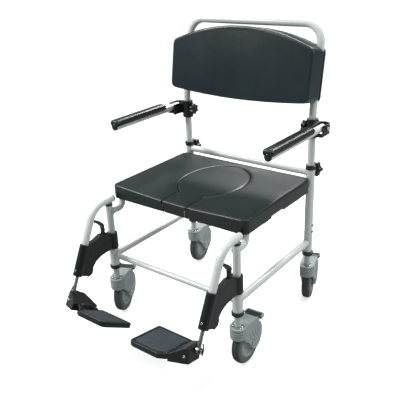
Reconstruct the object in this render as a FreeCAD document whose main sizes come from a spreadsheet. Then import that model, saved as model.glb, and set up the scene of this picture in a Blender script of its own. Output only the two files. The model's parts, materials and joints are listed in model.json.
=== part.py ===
import FreeCAD, Part
import math
import os
import Sketcher
from FreeCAD import Placement, Rotation, Vector

# Shower commode chair on four casters.
# Millimetres, +Z up, floor at z = 0, the sitter faces -Y, the sitter's left is +X.
# Parts are built in the chair frame, whose y = 0 lies midway between the front and
# rear posts, and are then moved by origin_y so that the origin is the centre of
# the chair's footprint. Paired parts are built on the left and mirrored.

os.makedirs("parts", exist_ok=True)
doc = FreeCAD.newDocument("commode_chair")

# ---------------------------------------------------------------- dimensions
DIMENSIONS = [  # alias, value, note
    ("origin_y", 77.0, "shift from chair frame to footprint centre"),
    ("run_gap", 0.05, "running clearance, radial"),
    ("wall", 1.8, "tube wall"),
    ("post_x", 268.0, "post axes, half width"),
    ("post_y", 232.0, "post axes, half depth"),
    ("post_r", 12.5, "front post outer radius"),
    ("post_top", 455.0, "front post top"),
    ("post_foot", 222.0, "bottom edge of all posts"),
    ("sleeve_r", 17.0, "front post sleeve outer radius"),
    ("sleeve_top", 288.0, "front post sleeve top"),
    ("rear_r", 15.0, "rear post outer radius"),
    ("rear_top", 545.0, "rear post top"),
    ("leg_r", 11.0, "leg tube outer radius"),
    ("leg_bore_r", 9.0, "leg tube bore radius"),
    ("leg_low", 164.5, "leg tube lower end"),
    ("leg_high", 322.0, "leg tube upper end"),
    ("collar_r", 20.0, "leg collar outer radius"),
    ("collar_low", 208.0, "leg collar lower face"),
    ("collar_tall", 13.5, "leg collar height"),
    ("rail_z", 260.0, "lower rail height"),
    ("rail_r", 12.5, "lower side rail radius"),
    ("cross_r", 10.0, "front cross rail radius"),
    ("seat_rail_x", 262.0, "seat rail half spacing"),
    ("seat_rail_z", 475.0, "seat rail height"),
    ("seat_rail_r", 11.0, "seat rail radius"),
    ("neck_y", -172.0, "seat rail drop, y"),
    ("neck_z", 431.0, "seat rail front weld height"),
    ("neck_bend", 21.0, "seat rail bend radius"),
    ("back_rail_z", 532.0, "rear cross tube height"),
    ("hole_r", 4.0, "height hole radius"),
    ("hole_z", 305.0, "first height hole"),
    ("hole_pitch", 25.0, "height hole pitch"),
    ("knob_z", 535.0, "backrest knob height"),
    ("knob_r", 24.0, "backrest knob lobe circle"),
    ("knob_boss", 7.0, "knob boss, reach behind the rear post"),
    ("knob_stem", 4.0, "backrest knob stem radius"),
    ("wheel_r", 75.0, "caster wheel radius"),
    ("tyre_w", 32.0, "tyre width"),
    ("rim_r", 54.0, "hub rim radius"),
    ("trail", 50.8, "caster trail"),
    ("fork_w", 54.0, "caster fork width"),
    ("fork_gap", 38.0, "caster fork inner width"),
    ("fork_top", 164.0, "caster fork top"),
    ("axle_r", 5.0, "caster axle radius"),
    ("pedal_y", 90.0, "brake pedal pin, behind the swivel axis"),
    ("pedal_z", 144.0, "brake pedal pin height"),
    ("pedal_pin", 2.5, "brake pedal pin radius"),
    ("swivel_fl", 4.0, "rest swivel, front left"),
    ("swivel_fr", 24.0, "rest swivel, front right"),
    ("swivel_rr", 11.0, "rest swivel, rear right"),
    ("swivel_rl", 18.0, "rest swivel, rear left"),
    ("seat_w", 560.0, "seat width"),
    ("seat_front", -198.0, "seat front edge"),
    ("seat_back", 214.0, "seat back edge"),
    ("seat_top", 520.0, "seat top"),
    ("seat_thick", 32.0, "seat slab thickness"),
    ("seat_round", 22.0, "seat corner radius"),
    ("skirt_low", 470.0, "seat skirt bottom"),
    ("skirt_wall", 5.0, "seat skirt wall"),
    ("hole_a", 116.5, "aperture half width"),
    ("hole_b", 150.0, "aperture half length"),
    ("hole_y", 30.0, "aperture centre"),
    ("hole_deep", 24.0, "seat top to aperture ledge"),
    ("neck_w", 104.0, "aperture neck width"),
    ("plug_gap", 1.5, "gap round the plug"),
    ("ledge", 9.0, "aperture ledge"),
    ("guide_x", 136.0, "pan guide web"),
    ("guide_in", 117.0, "pan guide foot, inner edge"),
    ("guide_low", 447.0, "pan guide bottom"),
    ("guide_front", -70.0, "pan guide front end"),
    ("pan_y", 62.0, "pan centre"),
    ("pan_a", 112.0, "pan half width at the rim"),
    ("pan_b", 118.0, "pan rim half length"),
    ("pan_rim_z", 456.0, "pan rim height"),
    ("pan_deep", 50.0, "pan depth"),
    ("tube_r", 12.5, "push bar, arm and hanger tube radius"),
    ("push_low", 400.0, "push bar lower end"),
    ("lean_z", 750.0, "height where the push bar leans back"),
    ("lean_deg", 9.7, "push bar lean"),
    ("knee_bend", 150.0, "push bar bend radius where the lean starts"),
    ("push_len", 279.0, "leaning part, length to the top bar"),
    ("push_bend", 60.0, "top bar corner radius"),
    ("back_w", 570.0, "backrest width"),
    ("back_low", 30.0, "backrest side, lower end, along the lean"),
    ("back_high", 200.0, "backrest side, upper end, along the lean"),
    ("back_crown", 260.0, "backrest crown, along the lean"),
    ("back_sag", 14.0, "backrest lower middle, along the lean"),
    ("back_front", 62.0, "backrest side front edge ahead of the tube"),
    ("back_mid", 28.0, "backrest middle front face ahead of the tube"),
    ("back_rear", 19.0, "backrest rear face behind the tube"),
    ("back_split", 1.5, "backrest shell, gap to the tube's centre plane"),
    ("arm_x", 310.0, "arm tube axis"),
    ("arm_z", 703.0, "arm tube height"),
    ("arm_front", -125.0, "arm tube front end"),
    ("arm_back", 222.0, "arm tube rear end"),
    ("arm_pivot_y", 212.0, "arm pivot"),
    ("arm_bolt", 4.0, "arm pivot bolt radius"),
    ("arm_knob_z", 695.0, "arm knob height"),
    ("arm_stem", 3.0, "arm knob stem radius"),
    ("clamp_low", 661.0, "arm clamp lower face"),
    ("clamp_high", 725.0, "arm clamp upper face"),
    ("clamp_r", 20.0, "arm clamp radius"),
    ("clamp_front", 177.0, "arm clamp front end"),
    ("bow_in", 288.5, "arm clamp bow, inner side"),
    ("bow_out", 331.0, "arm clamp bow, outer side"),
    ("bow_room_in", 295.0, "room inside the bow, inner side"),
    ("bow_room_out", 325.0, "room inside the bow, outer side"),
    ("bow_y", 228.75, "arm clamp bow centre"),
    ("pad_w", 40.0, "arm pad width"),
    ("pad_top", 25.5, "arm pad top above the tube axis"),
    ("pad_front", -131.0, "arm pad front end"),
    ("pad_back", 135.0, "arm pad rear end"),
    ("hang_z", 475.0, "hanger tube height"),
    ("hang_back", -214.0, "hanger tube rear end"),
    ("hang_bend", 75.0, "hanger bend radius"),
    ("hang_deg", 26.35, "hanger lower leg, angle from vertical"),
    ("sleeve_y", -360.0, "bracket sleeve top, y"),
    ("sleeve_z", 357.0, "bracket sleeve top, z"),
    ("sleeve_len", 110.5, "bracket sleeve length"),
    ("bracket_r", 16.5, "bracket sleeve radius"),
    ("lever_y", -276.0, "release lever pin, y"),
    ("lever_z", 357.0, "release lever pin, z"),
    ("lever_pin", 2.0, "release lever pin radius"),
    ("lever_w", 12.6, "release lever width"),
    ("rod_r", 6.0, "foot rod radius"),
    ("rod_out", 62.0, "foot rod, sleeve end to eye"),
    ("eye_pin", 4.0, "foot rod eye pin radius"),
    ("plate_w", 138.0, "footplate width"),
    ("plate_l", 140.0, "footplate length"),
    ("plate_t", 18.0, "footplate thickness"),
    ("plate_drop", 28.0, "footplate top below the eye"),
    ("plate_back", 81.0, "footplate back edge behind the eye"),
    ("plate_out", 190.0, "footplate outer edge, x"),
    ("hinge_x", 196.0, "footplate flip hinge, x"),
    ("hinge_up", 6.0, "flip hinge above the footplate top"),
    ("hinge_r", 5.0, "flip hinge knuckle radius"),
    ("hinge_pin", 2.5, "flip hinge pin radius"),
    ("tilt_left", 11.7, "left footplate rest tilt"),
    ("tilt_right", 32.3, "right footplate rest tilt"),
]


class Length:
    """A value together with the expression that binds it to the sheet."""

    def __init__(self, value, text):
        self.value = float(value)
        self.text = text

    def __add__(self, other):
        other = length(other)
        return Length(self.value + other.value, f"({self.text} + {other.text})")

    def __radd__(self, other):
        return length(other) + self

    def __sub__(self, other):
        other = length(other)
        return Length(self.value - other.value, f"({self.text} - {other.text})")

    def __rsub__(self, other):
        return length(other) - self

    def __mul__(self, other):
        other = length(other)
        return Length(self.value * other.value, f"({self.text} * {other.text})")

    def __rmul__(self, other):
        return length(other) * self

    def __truediv__(self, other):
        other = length(other)
        return Length(self.value / other.value, f"({self.text} / {other.text})")

    def __neg__(self):
        return length(0.0) - self


def length(number):
    if isinstance(number, Length):
        return number
    text = "%.6f" % float(number)
    return Length(number, f"({text})" if float(number) < 0 else text)


class Dimensions:
    """Holds each driving dimension as an attribute."""


dim = Dimensions()
sheet = doc.addObject("Spreadsheet::Sheet", "Dims")
for row, (alias, value, note) in enumerate(DIMENSIONS, 1):
    sheet.set(f"A{row}", alias)
    sheet.set(f"B{row}", str(value))
    sheet.set(f"C{row}", note)
    sheet.setAlias(f"B{row}", alias)
    setattr(dim, alias, Length(value, "Dims." + alias))
doc.recompute()


def bind(obj, prop, value):
    value = length(value)
    if "Dims." in value.text:
        obj.setExpression(prop, value.text)


def set_sizes(obj, **sizes):
    for prop, value in sizes.items():
        setattr(obj, prop, length(value).value)
        bind(obj, prop, value)


def vector(x, y, z):
    return Vector(*[length(c).value for c in (x, y, z)])


def put(obj, at, rot=None):
    """Place obj at a bound point with a rotation."""
    obj.Placement = Placement(vector(*at), rot or Rotation())
    for axis, coordinate in zip("xyz", at):
        bind(obj, "Placement.Base." + axis, coordinate)
    return obj


# ---------------------------------------------------------------- primitives
TURN_X = Rotation(Vector(0, 1, 0), 90)   # takes +Z to +X
TURN_Y = Rotation(Vector(1, 0, 0), -90)  # takes +Z to +Y
SIDES = (("left", 1), ("right", -1))


def cylinder(name, radius, tall, at, rot=None):
    obj = doc.addObject("Part::Cylinder", name)
    set_sizes(obj, Radius=radius, Height=tall)
    return put(obj, at, rot)


def cyl_x(name, radius, xs, y, z):
    return cylinder(name, radius, length(xs[1]) - xs[0], (xs[0], y, z), TURN_X)


def cyl_y(name, radius, x, ys, z):
    return cylinder(name, radius, length(ys[1]) - ys[0], (x, ys[0], z), TURN_Y)


def cyl_z(name, radius, x, y, zs):
    return cylinder(name, radius, length(zs[1]) - zs[0], (x, y, zs[0]))


def box(name, xs, ys, zs):
    obj = doc.addObject("Part::Box", name)
    sizes = [length(high) - low for low, high in (xs, ys, zs)]
    set_sizes(obj, Length=sizes[0], Width=sizes[1], Height=sizes[2])
    return put(obj, (xs[0], ys[0], zs[0]))


def x_range(side, inner, outer):
    """Range between two distances from the centre plane, on one side of it."""
    return (inner, outer) if side > 0 else (-outer, -inner)


def around(middle, reach):
    return (middle - reach, middle + reach)


def fuse(name, parts):
    obj = doc.addObject("Part::MultiFuse", name)
    obj.Shapes = parts
    obj.Refine = True
    return obj


CUTS = []


def cut(name, base, *tools):
    """Cut the tools from a base, one after another."""
    for tool in tools:
        obj = doc.addObject("Part::Cut", name)
        obj.Base = base
        obj.Tool = tool
        CUTS.append(obj)
        base = obj
    return base


def common(name, first, second):
    obj = doc.addObject("Part::Common", name)
    obj.Base = first
    obj.Tool = second
    return obj


def mirror(source):
    obj = doc.addObject("Part::Mirroring", source.Name + "_mirrored")
    obj.Source = source
    obj.Base = Vector(0, 0, 0)
    obj.Normal = Vector(1, 0, 0)
    return obj


def ring(name, outer_r, inner_r, x, y, zs):
    return cut(name, cyl_z(name + "_out", outer_r, x, y, zs),
               cyl_z(name + "_in", inner_r, x, y, (zs[0] - 10, zs[1] + 10)))


# ------------------------------------------------------- sketches and bodies
NORMALS = {"XY": Vector(0, 0, 1), "XZ": Vector(0, 1, 0), "YZ": Vector(1, 0, 0)}


def new_body(name):
    return doc.addObject("PartDesign::Body", name)


def new_sketch(body, name, plane, lift=None):
    sketch = body.newObject("Sketcher::SketchObject", name)
    support = next(f for f in body.Origin.OriginFeatures if f.Role == plane + "_Plane")
    sketch.AttachmentSupport = [(support, "")]
    sketch.MapMode = "FlatFace"
    if lift is not None:
        sketch.AttachmentOffset = Placement(vector(0, 0, lift), Rotation())
        bind(sketch, "AttachmentOffset.Base.z", lift)
    return sketch


def fix_point(sketch, geo, pos, x, y):
    for kind, coordinate in (("DistanceX", x), ("DistanceY", y)):
        number = length(coordinate).value
        index = sketch.addConstraint(Sketcher.Constraint(kind, -1, 1, geo, pos, number))
        bind(sketch, f"Constraints[{index}]", coordinate)


def polygon(sketch, points):
    """Closed polygon whose corners are dimensioned from the sketch origin."""
    count = len(points)
    corners = [vector(x, y, 0) for x, y in points]
    ids = [sketch.addGeometry(Part.LineSegment(corners[i], corners[(i + 1) % count]), False)
           for i in range(count)]
    for i in range(count):
        following = ids[(i + 1) % count]
        sketch.addConstraint(Sketcher.Constraint("Coincident", ids[i], 2, following, 1))
    for geo, (x, y) in zip(ids, points):
        fix_point(sketch, geo, 1, x, y)


def symmetric(right):
    """Closed outline from its right half, which starts at the bottom."""
    x, y = right[0]
    return [(-x, y)] + right + [(-x, y) for x, y in reversed(right[1:])]


def circle(sketch, x, y, radius):
    number = length(radius).value
    geo = sketch.addGeometry(Part.Circle(vector(x, y, 0), Vector(0, 0, 1), number), False)
    fix_point(sketch, geo, 3, x, y)
    index = sketch.addConstraint(Sketcher.Constraint("Radius", geo, number))
    bind(sketch, f"Constraints[{index}]", radius)


def pad(body, sketch, depth, name):
    feature = body.newObject("PartDesign::Pad", name)
    feature.Profile = sketch
    set_sizes(feature, Length=depth)
    return feature


def runs_along(edge, axis):
    if len(edge.Vertexes) != 2:
        return False
    step = edge.Vertexes[1].Point - edge.Vertexes[0].Point
    return abs(step.normalize().dot(axis)) > 0.999


def fillet(body, base, radius, pick, name):
    """Round the edges of a feature that pick() accepts."""
    doc.recompute()
    names = [f"Edge{i}" for i, edge in enumerate(base.Shape.Edges, 1) if pick(edge)]
    if not names:
        raise ValueError("no edge for " + name)
    feature = body.newObject("PartDesign::Fillet", name)
    feature.Base = (base, names)
    set_sizes(feature, Radius=radius)
    return feature


def plate(name, plane, points, span, corner=None, rim=None, both_rims=False):
    """Polygon padded over a span along its normal, with rounded corners and rims."""
    low, high = span
    depth = length(high) - low
    body = new_body(name)
    sketch = new_sketch(body, name + "_sketch", plane)
    polygon(sketch, points)
    feature = pad(body, sketch, depth, name + "_pad")
    if corner is not None:
        feature = fillet(body, feature, corner,
                         lambda edge: runs_along(edge, NORMALS[plane]), name + "_corners")
    if rim is not None:
        levels = (0, depth.value) if both_rims else (depth.value,)

        def on_rim(edge):
            bounds = edge.BoundBox
            return bounds.ZLength < 1e-4 and any(abs(bounds.ZMin - z) < 1e-4 for z in levels)
        fillet(body, feature, rim, on_rim, name + "_rim")
    # a pad on XZ grows towards -Y, so its body starts at the high end
    places = {"XY": (0, 0, low), "XZ": (0, high, 0), "YZ": (low, 0, 0)}
    return put(body, places[plane])


def slab(name, half_width, ys, zs, corner, rim=None):
    """Level rectangular block, centred on x = 0."""
    outline = symmetric([(half_width, ys[0]), (half_width, ys[1])])
    return plate(name, "XY", outline, zs, corner, rim)


# ---------------------------------------------------------------- bent tubes
def rounded_path(points, radii):
    """Wire of lines and tangent arcs through 3-D corners."""
    edges = []
    current = points[0]
    for before, corner, after, radius in zip(points, points[1:], points[2:], radii):
        back = (before - corner).normalize()
        ahead = (after - corner).normalize()
        half_angle = back.getAngle(ahead) / 2.0
        reach = radius / math.tan(half_angle)
        centre = corner + (back + ahead).normalize() * (radius / math.sin(half_angle))
        start = corner + back * reach
        end = corner + ahead * reach
        middle = centre + (corner - centre).normalize() * radius
        if (start - current).Length > 1e-6:
            edges.append(Part.LineSegment(current, start).toShape())
        edges.append(Part.Arc(start, middle, end).toShape())
        current = end
    edges.append(Part.LineSegment(current, points[-1]).toShape())
    return Part.Wire(edges)


def swept(wire, radius):
    start, following = [v.Point for v in wire.OrderedVertexes[:2]]
    tangent = (following - start).normalize()
    section = Part.Wire([Part.Circle(start, tangent, radius).toShape()])
    return wire.makePipeShell([section], True, False)


def bent_tube(name, points, bends, radius):
    wire = rounded_path(points, [bend.value for bend in bends])
    obj = doc.addObject("Part::Feature", name)
    obj.Shape = swept(wire, radius.value).cut(swept(wire, (radius - dim.wall).value))
    return obj


# --------------------------------------------------------------------- nodes
NODES = []
CHAIR_ORIGIN = (0, 0, 0)


def node(label, parts, at=CHAIR_ORIGIN, rot=None):
    """An exported piece: its solids, moved into the footprint frame."""
    obj = doc.addObject("Part::Compound", label)
    obj.Links = parts
    obj.Label = label
    put(obj, (at[0], at[1] + dim.origin_y, at[2]), rot)
    NODES.append(obj)
    return obj


def pair(label, *parts, at=CHAIR_ORIGIN, turns=None):
    """A left piece and its mirror image, each with its own turn."""
    for tag, side in SIDES:
        shown = list(parts) if side > 0 else [mirror(part) for part in parts]
        node(f"{label}_{tag}", shown, at, turns[tag] if turns else None)


# =============================================================== main frame
leg_fit = dim.leg_r + dim.run_gap
tube_fit = dim.tube_r + dim.run_gap


def front_post(tag, x):
    y = -dim.post_y
    tube = cyl_z("front_tube_" + tag, dim.post_r, x, y, (dim.post_foot, dim.post_top))
    sleeve = cyl_z("front_sleeve_" + tag, dim.sleeve_r, x, y, (dim.post_foot, dim.sleeve_top))
    hole = cyl_z("front_bore_" + tag, leg_fit, x, y, (150, 550))
    return cut("front_post_" + tag, fuse("front_body_" + tag, [tube, sleeve]), hole)


def rear_post(tag, x):
    y = dim.post_y
    tube = cyl_z("rear_tube_" + tag, dim.rear_r, x, y, (dim.post_foot, dim.rear_top))
    boss = cyl_y("knob_boss_" + tag, 9, x, (y, y + dim.rear_r + dim.knob_boss), dim.knob_z)
    leg_bore = cyl_z("rear_bore_low_" + tag, leg_fit, x, y, (150, 370))
    bar_bore = cyl_z("rear_bore_high_" + tag, tube_fit, x, y, (365, 665))
    stem = cyl_y("knob_hole_" + tag, dim.knob_stem + dim.run_gap, x, (y, y + 40), dim.knob_z)
    holes = [cyl_y(f"height_hole_{tag}_{i}", dim.hole_r, x, (y, y + 30),
                   dim.hole_z + i * dim.hole_pitch) for i in range(2)]
    return cut("rear_post_" + tag, fuse("rear_body_" + tag, [tube, boss]),
               leg_bore, bar_bore, stem, *holes)


def side_rail(tag, x):
    """Lower rail, coped to the front sleeve and the rear post."""
    ys = (-dim.post_y, dim.post_y)
    zs = around(dim.rail_z, 40)
    return cut("side_rail_" + tag,
               cyl_y("rail_out_" + tag, dim.rail_r, x, ys, dim.rail_z),
               cyl_y("rail_in_" + tag, dim.rail_r - dim.wall, x, ys, dim.rail_z),
               cyl_z("rail_cope_front_" + tag, dim.sleeve_r, x, ys[0], zs),
               cyl_z("rail_cope_rear_" + tag, dim.rear_r, x, ys[1], zs))


def cross_tube(name, y, z, radius, post_r):
    xs = (-dim.post_x, dim.post_x)
    copes = [cyl_z(f"{name}_cope_{tag}", post_r, side * dim.post_x, y, around(z, 40))
             for tag, side in SIDES]
    return cut(name, cyl_x(name + "_out", radius, xs, y, z),
               cyl_x(name + "_in", radius - dim.wall, xs, y, z), *copes)


def seat_rail(tag, side):
    """Rail that drops near its front end to meet the front post."""
    x = side * dim.seat_rail_x
    path = [(dim.post_y - 4, dim.seat_rail_z), (dim.neck_y, dim.seat_rail_z),
            (dim.neck_y, dim.neck_z), (4 - dim.post_y, dim.neck_z)]  # y, z
    bar = bent_tube("seat_rail_bar_" + tag, [vector(x, y, z) for y, z in path],
                    [dim.neck_bend, dim.neck_bend], dim.seat_rail_r)
    front = cyl_z("seat_cope_front_" + tag, dim.post_r, side * dim.post_x, -dim.post_y,
                  (dim.neck_z - 31, dim.neck_z + 29))
    rear = cyl_z("seat_cope_rear_" + tag, dim.rear_r, side * dim.post_x, dim.post_y,
                 (dim.seat_rail_z - 29, dim.seat_rail_z + 31))
    return cut("seat_rail_" + tag, bar, front, rear)


frame = [make(tag, side * dim.post_x)
         for make in (front_post, rear_post, side_rail) for tag, side in SIDES]
frame.append(cross_tube("front_cross", -dim.post_y, dim.rail_z, dim.cross_r, dim.sleeve_r))
frame.append(cross_tube("rear_cross", dim.post_y, dim.back_rail_z, dim.rail_r, dim.rear_r))
frame += [seat_rail(tag, side) for tag, side in SIDES]
node("main_frame", frame)

# collars that guide the leg tubes below the posts
node("leg_collars",
     [ring("leg_collar", dim.collar_r, leg_fit, side * dim.post_x, end * dim.post_y,
           (dim.collar_low, dim.collar_low + dim.collar_tall))
      for end in (-1, 1) for tag, side in SIDES])


def post_bush(side, y, outer_r, inner_r, post_top, tall):
    low = post_top + 0.05
    return ring("post_bush", outer_r, inner_r, side * dim.post_x, y, (low, low + tall))


# bushes on the post tops: the front two carry the hangers, the rear two the push bar
node("post_bushes",
     [post_bush(side, -dim.post_y, dim.post_r + 1, leg_fit, dim.post_top, 7.2)
      for tag, side in SIDES]
     + [post_bush(side, dim.post_y, dim.rear_r + 3, tube_fit, dim.rear_top, 15)
        for tag, side in SIDES])


# ============================================================ lobed hand knobs
def lobed_knob(name, lobe_circle, lobe_r, thick, stem_r, stem_len):
    """Six-lobed knob whose axis is +Z, its stem reaching down below z = 0."""
    body = new_body(name + "_body")
    core_sketch = new_sketch(body, name + "_core_sketch", "XY")
    circle(core_sketch, 0, 0, lobe_circle)
    pad(body, core_sketch, thick, name + "_core")
    doc.recompute()
    lobe_sketch = new_sketch(body, name + "_lobe_sketch", "XY")
    circle(lobe_sketch, lobe_circle, 0, lobe_r)
    lobe = pad(body, lobe_sketch, thick, name + "_lobe")
    pattern = body.newObject("PartDesign::PolarPattern", name + "_lobes")
    pattern.Originals = [lobe]
    pattern.Axis = (core_sketch, ["N_Axis"])
    pattern.Angle = 360
    pattern.Occurrences = 6
    body.Tip = pattern
    stem = cyl_z(name + "_stem", stem_r, 0, 0, (-stem_len, 0))
    return fuse(name, [body, stem])


back_knob = lobed_knob("back_knob", dim.knob_r - 3, lobe_r=6.5, thick=20,
                       stem_r=dim.knob_stem, stem_len=9.3)
knob_y = dim.post_y + dim.rear_r + dim.knob_boss + 0.3
for tag, side in SIDES:
    node("backrest_knob_" + tag, [back_knob], (side * dim.post_x, knob_y, dim.knob_z), TURN_Y)

# ================================================================== casters
# One of each part is built about the swivel axis, the wheel trailing towards +Y.
half_fork = dim.fork_w / 2


def wheel_disc(name, radius, xs):
    return cyl_x(name, radius, xs, dim.trail, dim.wheel_r)


def pedal_cylinder(name, radius, reach):
    return cyl_x(name, radius, (-reach, reach), dim.pedal_y, dim.pedal_z)


def caster_fork():
    outline = [  # y, z, clockwise from the lower front
        (0, 112), (0, dim.fork_top), (24, dim.fork_top), (52, dim.fork_top - 1),
        (74, 159), (88, 153.5), (94.5, 148), (94.5, 137.5), (110, 121), (116, 97),
        (112, 72), (99, 52), (82, 42), (65, 43), (50, 52), (38, 69), (27, 88), (10, 103)]
    side_plate = plate("fork_side", "YZ", outline, (-half_fork, half_fork), 4)
    half_gap = dim.fork_gap / 2
    wheel_room = wheel_disc("fork_wheel_room", dim.wheel_r + 3.5, (-half_gap, half_gap))
    axle_hole = wheel_disc("fork_axle_hole", dim.axle_r + dim.run_gap, (-40, 40))
    pedal_room = box("fork_pedal_room", (-19, 19), (84, 110), (130, 170))
    pin_hole = pedal_cylinder("fork_pin_hole", dim.pedal_pin + dim.run_gap, 40)
    head = cyl_z("fork_head", 27, 0, 0, (dim.fork_top - 45, dim.fork_top))
    stem = cyl_z("fork_stem", dim.leg_bore_r - dim.run_gap, 0, 0,
                 (dim.fork_top - 1, dim.fork_top + 35))
    return cut("fork_form", fuse("fork_mass", [side_plate, head, stem]),
               wheel_room, axle_hole, pedal_room, pin_hole)


def caster_axle():
    bar_reach = half_fork + 1.5
    bar = wheel_disc("axle_bar", dim.axle_r, (-bar_reach, bar_reach))
    heads = [wheel_disc("axle_head", 7, x_range(side, half_fork + 0.3, half_fork + 2.5))
             for tag, side in SIDES]
    return fuse("axle_form", [bar] + heads)


def wheel_hub():
    rim = wheel_disc("hub_rim", dim.rim_r, (-13, 13))
    dishes = [wheel_disc("hub_dish", dim.rim_r - 6, x_range(side, 6, 15))
              for tag, side in SIDES]
    boss = wheel_disc("hub_boss", 15, (-18, 18))
    bore = wheel_disc("hub_bore", dim.axle_r + dim.run_gap, (-30, 30))
    return cut("hub_form", fuse("hub_mass", [cut("hub_dished", rim, *dishes), boss]), bore)


def tyre():
    """A rounded section turned about the axle."""
    body = new_body("tyre_body")
    sketch = new_sketch(body, "tyre_section", "XY")
    half, outer, inner = dim.tyre_w / 2, dim.wheel_r, dim.rim_r + 0.05
    polygon(sketch, symmetric([  # along the axle, out from the axle
        (half - 2, inner), (half, inner + 4), (half, outer - 9),
        (half - 3.5, outer - 3.5), (half - 9, outer - 0.6), (half - 11.5, outer)]))
    feature = body.newObject("PartDesign::Revolution", "tyre_turn")
    feature.Profile = sketch
    feature.ReferenceAxis = (sketch, ["H_Axis"])
    feature.Angle = 360
    return put(body, (0, dim.trail, dim.wheel_r))


def brake_pedal():
    outline = [(98, 139.5), (98, 147.5), (112, 149), (120, 146), (121, 141), (117, 139)]  # y, z
    return fuse("pedal_form", [
        plate("pedal_pad", "YZ", outline, (-31, 31), 1.5),
        box("pedal_arm", (-18, 18), (dim.pedal_y, 99), (140.2, 147.5)),
        pedal_cylinder("pedal_eye", 4, 18),
        box("pedal_shoe", (-12, 12), (104, 112), (132, 141)),
        pedal_cylinder("pedal_pin", dim.pedal_pin, half_fork - 0.5)])


def leg_tube():
    return cut("leg_tube_form",
               cyl_z("leg_out", dim.leg_r, 0, 0, (dim.leg_low, dim.leg_high)),
               cyl_z("leg_in", dim.leg_bore_r, 0, 0, (100, 500)),
               cyl_y("leg_pin_hole", 3.5, 0, (0, 40), dim.hole_z))


leg = leg_tube()
caster_parts = (("caster_fork_", caster_fork()), ("caster_axle_", caster_axle()),
                ("wheel_hub_", wheel_hub()), ("tyre_", tyre()),
                ("brake_pedal_", brake_pedal()))
CASTERS = (  # name, side, end, swivel
    ("front_left", 1, -1, dim.swivel_fl), ("front_right", -1, -1, dim.swivel_fr),
    ("rear_left", 1, 1, dim.swivel_rl), ("rear_right", -1, 1, dim.swivel_rr))
for tag, side, end, swivel in CASTERS:
    at = (side * dim.post_x, end * dim.post_y, 0)
    node("leg_tube_" + tag, [leg], at)
    for label, part in caster_parts:
        placed = node(label + tag, [part], at, Rotation(Vector(0, 0, 1), swivel.value))
        bind(placed, "Placement.Rotation.Angle", swivel)

# ===================================================================== seat
seat_under = dim.seat_top - dim.seat_thick
ledge_z = dim.seat_top - dim.hole_deep


def seat_block(name):
    return slab(name, dim.seat_w / 2, (dim.seat_front, dim.seat_back),
                (dim.skirt_low, dim.seat_top), dim.seat_round, 8)


def keyhole(name, grow, zs):
    """Oval with a neck that runs out through the seat front."""
    curve = doc.addObject("Part::Ellipse", name + "_curve")
    set_sizes(curve, MajorRadius=dim.hole_b + grow, MinorRadius=dim.hole_a + grow)
    put(curve, (0, dim.hole_y, zs[0]), Rotation(Vector(0, 0, 1), 90))
    oval = doc.addObject("Part::Extrusion", name + "_oval")
    oval.Base = curve
    oval.DirMode = "Custom"
    oval.Dir = Vector(0, 0, 1)
    set_sizes(oval, LengthFwd=zs[1] - zs[0])
    oval.Solid = True
    half = dim.neck_w / 2 + grow
    neck = box(name + "_neck", (-half, half), (dim.seat_front - 20, dim.hole_y), zs)
    return fuse(name, [oval, neck])


def seat_shell():
    wall = dim.skirt_wall
    room = slab("seat_room", dim.seat_w / 2 - wall,
                (dim.seat_front + wall, dim.seat_back - wall),
                (dim.skirt_low - 5, seat_under), dim.seat_round - wall)
    upper = keyhole("aperture_upper", 0, (ledge_z, dim.seat_top + 10))
    lower = keyhole("aperture_lower", -dim.ledge, (dim.skirt_low - 10, dim.seat_top + 5))
    # the rear skirt clears the seat rails and each side skirt has a drain notch
    skirt_rooms = []
    for tag, side in SIDES:
        rail_xs = around(side * dim.seat_rail_x, 12.5)
        skirt_rooms.append(box("skirt_rail_room_" + tag, rail_xs, (200, 222), (460, 488)))
        skirt_rooms.append(box("skirt_notch_" + tag, x_range(side, 273, 290),
                               (-50, 26), (460, 478)))
    return cut("seat_form", seat_block("seat_slab"), room, upper, lower, *skirt_rooms)


def seat_clip(side, y):
    """Straight clip that straddles a seat rail, so that the seat lifts off."""
    tall, overrun = 30, 15
    fit = dim.seat_rail_r + 0.3
    x, z = side * dim.seat_rail_x, dim.seat_rail_z
    room_ys = (y - overrun, y + tall + overrun)
    block = box("clip_block", x_range(side, dim.seat_rail_x - 15.5, dim.seat_rail_x + 12.8),
                (y, y + tall), (z - 10, seat_under - 0.05))
    return cut("clip_form", block, cyl_y("clip_room", fit, x, room_ys, z),
               box("clip_slot", around(x, fit), room_ys, (z - 30, z)))


def pan_guide(side):
    """Channel under the seat that carries the pan, with a stop at its front end."""
    ys = (dim.guide_front, 205)
    foot_xs = x_range(side, dim.guide_in, dim.guide_x)
    web_xs = x_range(side, dim.guide_x - 3, dim.guide_x + 3)
    return fuse("guide_form", [
        box("guide_web", web_xs, ys, (dim.guide_low, seat_under - 0.05)),
        box("guide_foot", foot_xs, ys, (dim.guide_low, 452.9)),
        box("guide_stop", foot_xs, (ys[0], ys[0] + 5), (dim.guide_low, dim.skirt_low))])


def seat_plug():
    """Keyhole plug that rests on the aperture ledge."""
    form = keyhole("plug_form", -dim.plug_gap, (ledge_z + 0.3, dim.seat_top + 10))
    half = dim.neck_w / 2 - dim.ledge - dim.plug_gap
    front = box("plug_front", (-half, half),
                (dim.seat_front - 5, dim.seat_front + dim.skirt_wall),
                (dim.skirt_low - 5, ledge_z + 5))
    return common("seat_plug_form", seat_block("plug_blank"), fuse("plug_tool", [form, front]))


node("seat", [seat_shell()])
node("seat_clips", [seat_clip(side, y) for tag, side in SIDES for y in (-90, 120)])
node("pan_guides", [pan_guide(side) for tag, side in SIDES])
node("seat_plug", [seat_plug()])

# ====================================================================== pan
PAN_WALL = 3
PAN_TAPER = 14   # how much less the half width and half length are at the bottom
PAN_FLANGE = 8   # step in from pan_a and pan_b to the tub


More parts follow.
